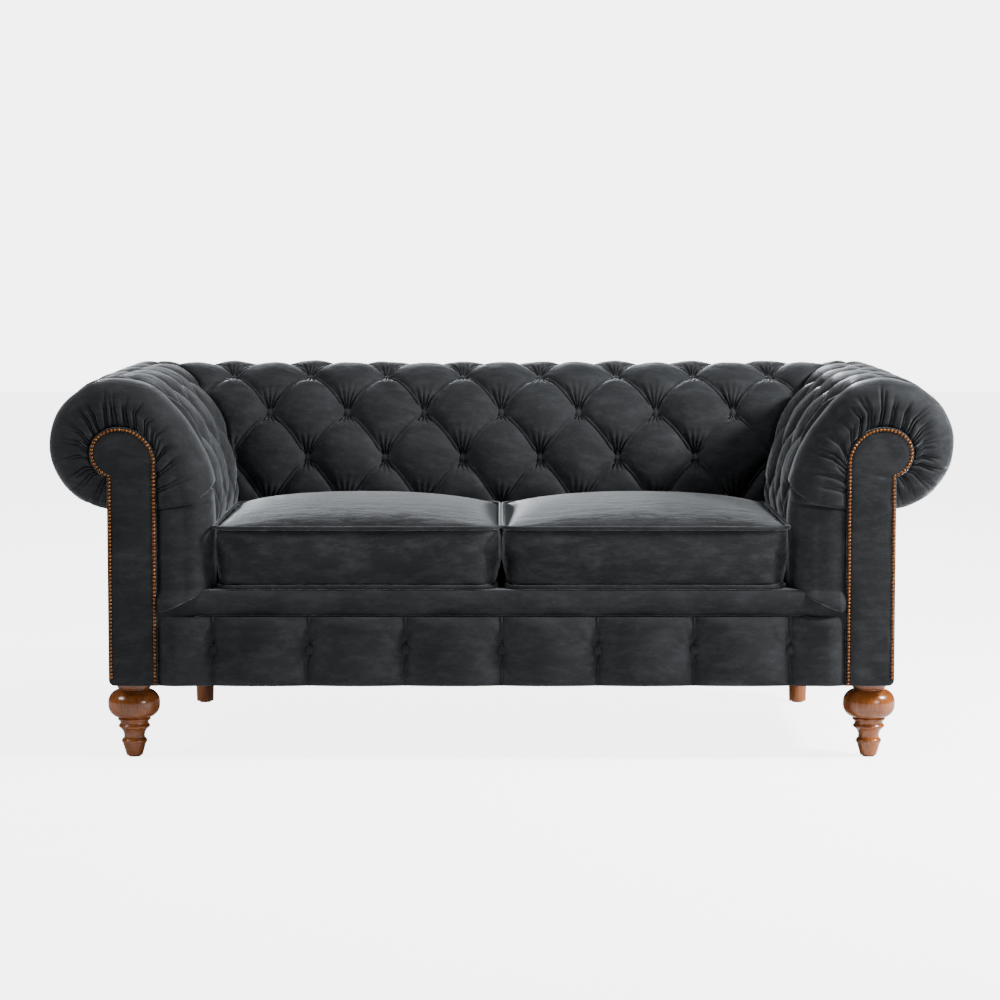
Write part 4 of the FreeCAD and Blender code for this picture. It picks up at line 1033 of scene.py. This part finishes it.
def panel_sheet(name, corner, across, upward, count, outward, material, node, seed):
    """A velvet-covered panel, softly padded to its tacked edges."""
    corner, across, upward, outward = (np.array(value, float) for value in (corner, across, upward, outward))
    share_x, share_y = np.meshgrid(np.linspace(0, 1, count[0]), np.linspace(0, 1, count[1]))
    x = share_x * np.linalg.norm(across)
    y = share_y * np.linalg.norm(upward)
    edge = np.minimum.reduce([x, x.max() - x, y, y.max() - y])
    pad = PANEL_PADDING * edge_roundness(edge, PANEL_EDGE)
    pad = pad + 0.0008 * unevenness(x, y, seed, 8, 0.08, 0.4) * smoothstep(edge / PANEL_EDGE)
    grid = corner + share_x[..., None] * across + share_y[..., None] * upward + pad[..., None] * outward
    for axis in (0, 1):
        first = grid.take([0], axis) - outward * PANEL_RETURN
        last = grid.take([-1], axis) - outward * PANEL_RETURN
        grid = np.concatenate([first, grid, last], axis)
    piece = grid_piece(name, grid, material, outward)
    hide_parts(node)


def marks_between(low, high, cuts, step):
    """Even marks from low to high that also fall on each cut."""
    stops = sorted({low, high, *[cut for cut in cuts if low < cut < high]})
    marks = []
    for start, end in zip(stops, stops[1:]):
        marks.append(np.linspace(start, end, max(1, round((end - start) / step)), endpoint=False))
    return np.concatenate(marks + [[high]])


def cloth_sheet(name, low, high, height, gaps, material, seed):
    """A stretched cloth with square cuts: gaps holds the middle and half width of each."""
    marks = []
    for axis in (0, 1):
        cuts = [gap[axis] + sign * gap[2] for gap in gaps for sign in (-1, 1)]
        marks.append(marks_between(low[axis], high[axis], cuts, CLOTH_STEP))
    across, deep = np.meshgrid(*marks)
    uneven = 0.0005 * unevenness(across, deep, seed, 8, 0.08, 0.4)
    points = np.stack([across, deep, height + uneven - CLOTH_SAG], axis=-1).reshape(-1, 3)
    faces = []
    for face in grid_faces(*across.shape):
        middle = points[list(face)].mean(axis=0)
        if not any(max(abs(middle[0] - x), abs(middle[1] - y)) < half for x, y, half in gaps):
            faces.append(face)
    piece = mesh_piece(name, points, faces, material, slot="deck_cloth")
    remove_loose(piece)
    return piece


def under_cloths():
    """The cloth under the cushions and the dust cover under the frame."""
    black = woven("black_cloth", (0.020, 0.020, 0.022, 1.0), 1800.0)
    low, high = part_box("seat_deck_cloth")
    deck = cloth_sheet("deck_cloth", low, high, high.z, (), black, SEED + 30)
    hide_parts("seat_deck_cloth", "seat_deck_pad")
    low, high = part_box("dust_cover")
    gaps = [(side * x, y, half) for x, y, half in FOOT_CUTS for side in (-1, 1)]
    cover = cloth_sheet("under_cover", low, high, low.z + 0.0012, gaps, black, SEED + 31)
    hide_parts("dust_cover")


def box_points(low, high):
    """Corners of an upright box."""
    return [
        (x, y, z) for z in (low[2], high[2]) for x, y in
        ((low[0], low[1]), (high[0], low[1]), (high[0], high[1]), (low[0], high[1]))
    ]


def cushion_zip(name, tape_material, teeth_material):
    """Zip in the back of a cushion: two woven tapes and their teeth."""
    low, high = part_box(name + "_cushion_zip")
    middle = (low.z + high.z) / 2
    across = np.linspace(low.x, high.x, round((high.x - low.x) / 0.005))
    rows = []
    for height, behind in (
        (low.z, 0.0012), (low.z + 0.003, 0.0006), (middle - 0.004, 0.0005), (middle, 0.0009),
        (middle + 0.004, 0.0005), (high.z - 0.003, 0.0006), (high.z, 0.0012),
    ):
        wave = 0.0002 * np.sin(across * 260 + height * 900)
        rows.append(np.stack([across, high.y - behind + wave, 0 * across + height], axis=-1))
    body = name + "_cushion"
    tape = grid_piece(name + "_zip_tape", np.array(rows), tape_material, (0, 1, 0), body, "zip_tape")
    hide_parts(name + "_cushion_zip")
    points = []
    faces = []
    for number in range(int((high.x - low.x - 2 * ZIP_END) / TOOTH_PITCH)):
        x = low.x + ZIP_END + TOOTH_PITCH * number
        z = middle + (TOOTH_STAGGER if number % 2 else -TOOTH_STAGGER)
        faces += [tuple(len(points) + corner for corner in face) for face in BOX_FACES]
        tooth_low = (x, high.y - 0.0009, z - TOOTH_HALF_HEIGHT)
        points += box_points(tooth_low, (x + TOOTH_WIDTH, high.y + 0.0003, z + TOOTH_HALF_HEIGHT))
    mesh_piece(name + "_zip_teeth", points, faces, teeth_material, body, "zip_metal", smooth=False)


def zip_materials():
    """Woven tape and brass teeth of the zips."""
    return (
        woven("cotton_tape", (0.03, 0.03, 0.035, 1.0), 2600.0),
        metal("brass_teeth", (0.50, 0.42, 0.28, 1.0), 0.30, 300.0),
    )


def finish_frame():
    """Gives every node of the frame its finish, by words in its name; the rest is beech."""
    colours = bpy.context.scene.sofa_colours
    steel = metal("bright_steel", (0.45, 0.45, 0.46, 1.0), 0.32, 90.0)
    stuffing = foam("cut_foam", (0.70, 0.62, 0.42, 1.0))
    beech = wood("raw_beech", (0.52, 0.33, 0.17, 1.0), 0.65, 0.0, 0.3)
    tape, teeth = zip_materials()
    finishes = {
        "feet": wood("turned_wood", colours.wood, 0.24, 0.45, 0.10),
        "nails": metal("dome_nail", colours.nail, 0.34, 260.0),
        "screws": steel, "bolts": steel, "springs": steel, "clips": steel,
        "glides": foam("black_plastic", (0.05, 0.045, 0.04, 1.0)),
        "webbing": woven("jute_webbing", (0.30, 0.22, 0.13, 1.0), 1500.0),
        # The buttons get a darker copy of the cover velvet as painted shade of their pits: fewer brushed
        # streaks darken its colour, and it has less sheen and bump.
        "buttons": velvet("button_velvet_painted_shade", 0.1, 0.2, 0.65),
        "boards": wood("raw_plywood", (0.48, 0.34, 0.20, 1.0), 0.7, 0.0, 0.3),
        "slider": teeth, "zip": tape, "foam": stuffing, "pad": stuffing,
        "cover": velvet(), "cloth": velvet(), "piping": velvet(), "panel": velvet(), "roll": velvet(),
    }
    for name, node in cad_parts.items():
        node.data.materials.clear()
        node.data.materials.append(next((finishes[word] for word in finishes if word in name), beech))


class SofaOperator:
    """What the sofa's operators share."""

    bl_options = {"REGISTER", "UNDO"}


class SOFA_OT_frame_finish(SofaOperator, bpy.types.Operator):
    """Finish the frame's own pieces: feet, nails, buttons and what the covers hide"""

    bl_idname = "sofa.frame_finish"
    bl_label = "Finish Frame Pieces"

    def execute(self, context):
        finish_frame()
        return {"FINISHED"}


class SOFA_OT_back(SofaOperator, bpy.types.Operator):
    """Make the tufted cover of the back"""

    bl_idname = "sofa.back"
    bl_label = "Tufted Back"

    def execute(self, context):
        def place(out, up, along):
            return along, SEAT_BACK + out, up

        reach = (SEAT_HALF + PANEL_INSET + ROLL_OUT) / PITCH
        limit = 2 * math.ceil(reach / 2)
        tufted_cover(
            "tufted_back", -limit, limit, 0.0, place,
            ((1, SEAT_HALF), (-1, SEAT_HALF)), None, velvet(), ("back_cover", "back_foam"),
        )
        return {"FINISHED"}


class SOFA_OT_arms(SofaOperator, bpy.types.Operator):
    """Make the tufted covers of the arms"""

    bl_idname = "sofa.arms"
    bl_label = "Tufted Arms"

    def execute(self, context):
        for name, side in SIDES:
            def place(out, up, along, side=side):
                return side * (SEAT_HALF + out), along, up

            piece = tufted_cover(
                name + "_tufted_arm", -1, 10, ARM_ORIGIN, place,
                ((1, SEAT_BACK),), BAND_BACK, velvet(), (name + "_arm_cover", name + "_arm_foam"),
            )
            face_outwards(piece, (-side, 0, 0.3))
        return {"FINISHED"}


class SOFA_OT_arm_fronts(SofaOperator, bpy.types.Operator):
    """Make the rolled front end of each arm and its gathers"""

    bl_idname = "sofa.arm_fronts"
    bl_label = "Arm Fronts"

    def execute(self, context):
        for name, side in SIDES:
            arm_front(name, side, velvet())
        return {"FINISHED"}


class SOFA_OT_facings(SofaOperator, bpy.types.Operator):
    """Make the padded facings"""

    bl_idname = "sofa.facings"
    bl_label = "Facings"

    def execute(self, context):
        for name, side in SIDES:
            facing_pad(name, side, velvet())
        return {"FINISHED"}


class SOFA_OT_front(SofaOperator, bpy.types.Operator):
    """Make the seat's lip and the front border"""

    bl_idname = "sofa.front"
    bl_label = "Lip and Border"

    def execute(self, context):
        front_lip(velvet())
        front_border(velvet())
        return {"FINISHED"}


class SOFA_OT_cushions(SofaOperator, bpy.types.Operator):
    """Make the seat cushions and their piping"""

    bl_idname = "sofa.cushions"
    bl_label = "Seat Cushions"

    def execute(self, context):
        top = velvet("brushed_velvet", 0.7, 0.60)
        for name, side in SIDES:
            seat_cushion(name, side, top)
            piping(name, side, CUSHION_BOTTOM + PIPING_RADIUS, CUSHION_TAPER, "lower", velvet())
            piping(name, side, CUSHION_TOP, 0.001, "upper", velvet())
        return {"FINISHED"}


class SOFA_OT_panels(SofaOperator, bpy.types.Operator):
    """Make the outside panels"""

    bl_idname = "sofa.panels"
    bl_label = "Outside Panels"

    def execute(self, context):
        low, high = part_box("outside_back_panel")
        panel_sheet(
            "outside_back", (low.x, high.y, low.z), (high.x - low.x, 0, 0), (0, 0, high.z - low.z),
            (150, 40), (0, 1, 0), velvet(), "outside_back_panel", SEED + 20,
        )
        low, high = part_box("outside_arm_panels")
        for name, side in SIDES:
            panel_sheet(
                name + "_outside_arm", (side * high.x, low.y, low.z), (0, high.y - low.y, 0),
                (0, 0, high.z - low.z), (70, 40), (side, 0, 0), velvet(),
                "outside_arm_panels", SEED + 21,
            )
        return {"FINISHED"}


class SOFA_OT_cloths(SofaOperator, bpy.types.Operator):
    """Make the cloth under the cushions and the dust cover"""

    bl_idname = "sofa.cloths"
    bl_label = "Deck Cloth and Dust Cover"

    def execute(self, context):
        under_cloths()
        return {"FINISHED"}


class SOFA_OT_zips(SofaOperator, bpy.types.Operator):
    """Make the cushions' zips"""

    bl_idname = "sofa.zips"
    bl_label = "Zips"

    def execute(self, context):
        for name, _ in SIDES:
            cushion_zip(name, *zip_materials())
        return {"FINISHED"}


class SOFA_OT_stage(SofaOperator, bpy.types.Operator):
    """Make the floor, the studio lights and the camera"""

    bl_idname = "sofa.stage"
    bl_label = "Studio"

    def execute(self, context):
        make_stage()
        return {"FINISHED"}


def area_light(name, place, target, size, power):
    """A soft square light aimed at a point."""
    data = bpy.data.lights.new(name, "AREA")
    data.shape = "RECTANGLE"
    data.size, data.size_y = size
    data.energy = power
    lamp = bpy.data.objects.new(name, data)
    bpy.context.collection.objects.link(lamp)
    lamp.location = place
    lamp.rotation_euler = (Vector(target) - Vector(place)).to_track_quat("-Z", "Y").to_euler()


def make_stage():
    """Pale floor and surround, soft lights and the camera at the photograph's angle."""
    def floor_surface(tree):
        seen = add_node(tree, "ShaderNodeLightPath").outputs["Is Camera Ray"]
        return {
            "Base Color": ramped(tree, object_noise(tree, 2.0), 0.3, 0.7, (0.86, 0.90)), "Roughness": 0.9,
            "Emission Color": WHITE, "Emission Strength": math_node(tree, "MULTIPLY", seen, 4.6),
        }

    floor = bpy.data.meshes.new("floor")
    corners = [(x * FLOOR_HALF, y * FLOOR_HALF, 0) for x, y in ((-1, -1), (1, -1), (1, 1), (-1, 1))]
    floor.from_pydata(corners, [], [(0, 1, 2, 3)])
    ground = bpy.data.objects.new("floor", floor)
    bpy.context.collection.objects.link(ground)
    ground.data.materials.append(finish("studio_floor", floor_surface))

    world = bpy.data.worlds.new("studio")
    bpy.context.scene.world = world
    world.use_nodes = True
    sky = world.node_tree
    seen = add_node(sky, "ShaderNodeLightPath").outputs["Is Camera Ray"]
    background = sky.nodes["Background"].inputs
    background["Color"].default_value = WHITE
    connect(sky, math_node(sky, "MULTIPLY_ADD", seen, 5.4, 0.06), background["Strength"])

    area_light("key", (2.75, -0.85, 2.05), (0.0, 0.1, 0.45), (0.45, 0.45), 200.0)
    area_light("left_rim", (-2.7, -1.2, 1.9), (0.5, 0.0, 0.6), (0.7, 0.7), 38.0)
    area_light("top", (0.2, -0.2, 2.9), (0.0, 0.0, 0.4), (1.8, 0.8), 31.0)
    area_light("right_front", (2.0, -2.6, 0.9), (0.6, -0.3, 0.4), (0.8, 0.8), 24.0)
    area_light("behind", (0.4, 4.2, 2.4), (0.0, 0.0, 0.4), (2.4, 1.4), 60.0)

    camera = bpy.data.cameras.new("camera")
    camera.sensor_width = 36.0
    camera.lens = 108.8
    eye = bpy.data.objects.new("camera", camera)
    bpy.context.collection.objects.link(eye)
    eye.location = (-0.003, -6.300, 1.016)
    eye.rotation_euler = (math.radians(90.0 - 4.917), 0.0, 0.0)
    bpy.context.scene.camera = eye


class SOFA_PT_panel(bpy.types.Panel):
    """Sidebar panel with the sofa's sizes, colours and steps."""

    bl_idname = "SOFA_PT_panel"
    bl_label = "Chesterfield Sofa"
    bl_space_type = "VIEW_3D"
    bl_region_type = "UI"
    bl_category = "Sofa"

    def draw(self, context):
        layout = self.layout
        for group in (context.scene.sofa_sizes, context.scene.sofa_colours):
            for name in group.__annotations__:
                layout.prop(group, name)
        for operator in OPERATORS:
            layout.operator(operator.bl_idname)


OPERATORS = (
    SOFA_OT_stage,
    SOFA_OT_frame_finish,
    SOFA_OT_back,
    SOFA_OT_arms,
    SOFA_OT_arm_fronts,
    SOFA_OT_facings,
    SOFA_OT_front,
    SOFA_OT_cushions,
    SOFA_OT_zips,
    SOFA_OT_panels,
    SOFA_OT_cloths,
)
CLASSES = (SofaSizes, SofaColours) + OPERATORS + (SOFA_PT_panel,)


def register():
    for item in CLASSES:
        bpy.utils.register_class(item)
    bpy.types.Scene.sofa_sizes = bpy.props.PointerProperty(type=SofaSizes)
    bpy.types.Scene.sofa_colours = bpy.props.PointerProperty(type=SofaColours)


def unregister():
    del bpy.types.Scene.sofa_colours
    del bpy.types.Scene.sofa_sizes
    for item in reversed(CLASSES):
        bpy.utils.unregister_class(item)


def main():
    """Registers the add-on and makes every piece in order."""
    register()
    bpy.ops.sofa.stage()
    bpy.ops.sofa.frame_finish()
    bpy.ops.sofa.back()
    bpy.ops.sofa.arms()
    bpy.ops.sofa.arm_fronts()
    bpy.ops.sofa.facings()
    bpy.ops.sofa.front()
    bpy.ops.sofa.cushions()
    bpy.ops.sofa.zips()
    bpy.ops.sofa.panels()
    bpy.ops.sofa.cloths()


if __name__ == "__main__":
    main()
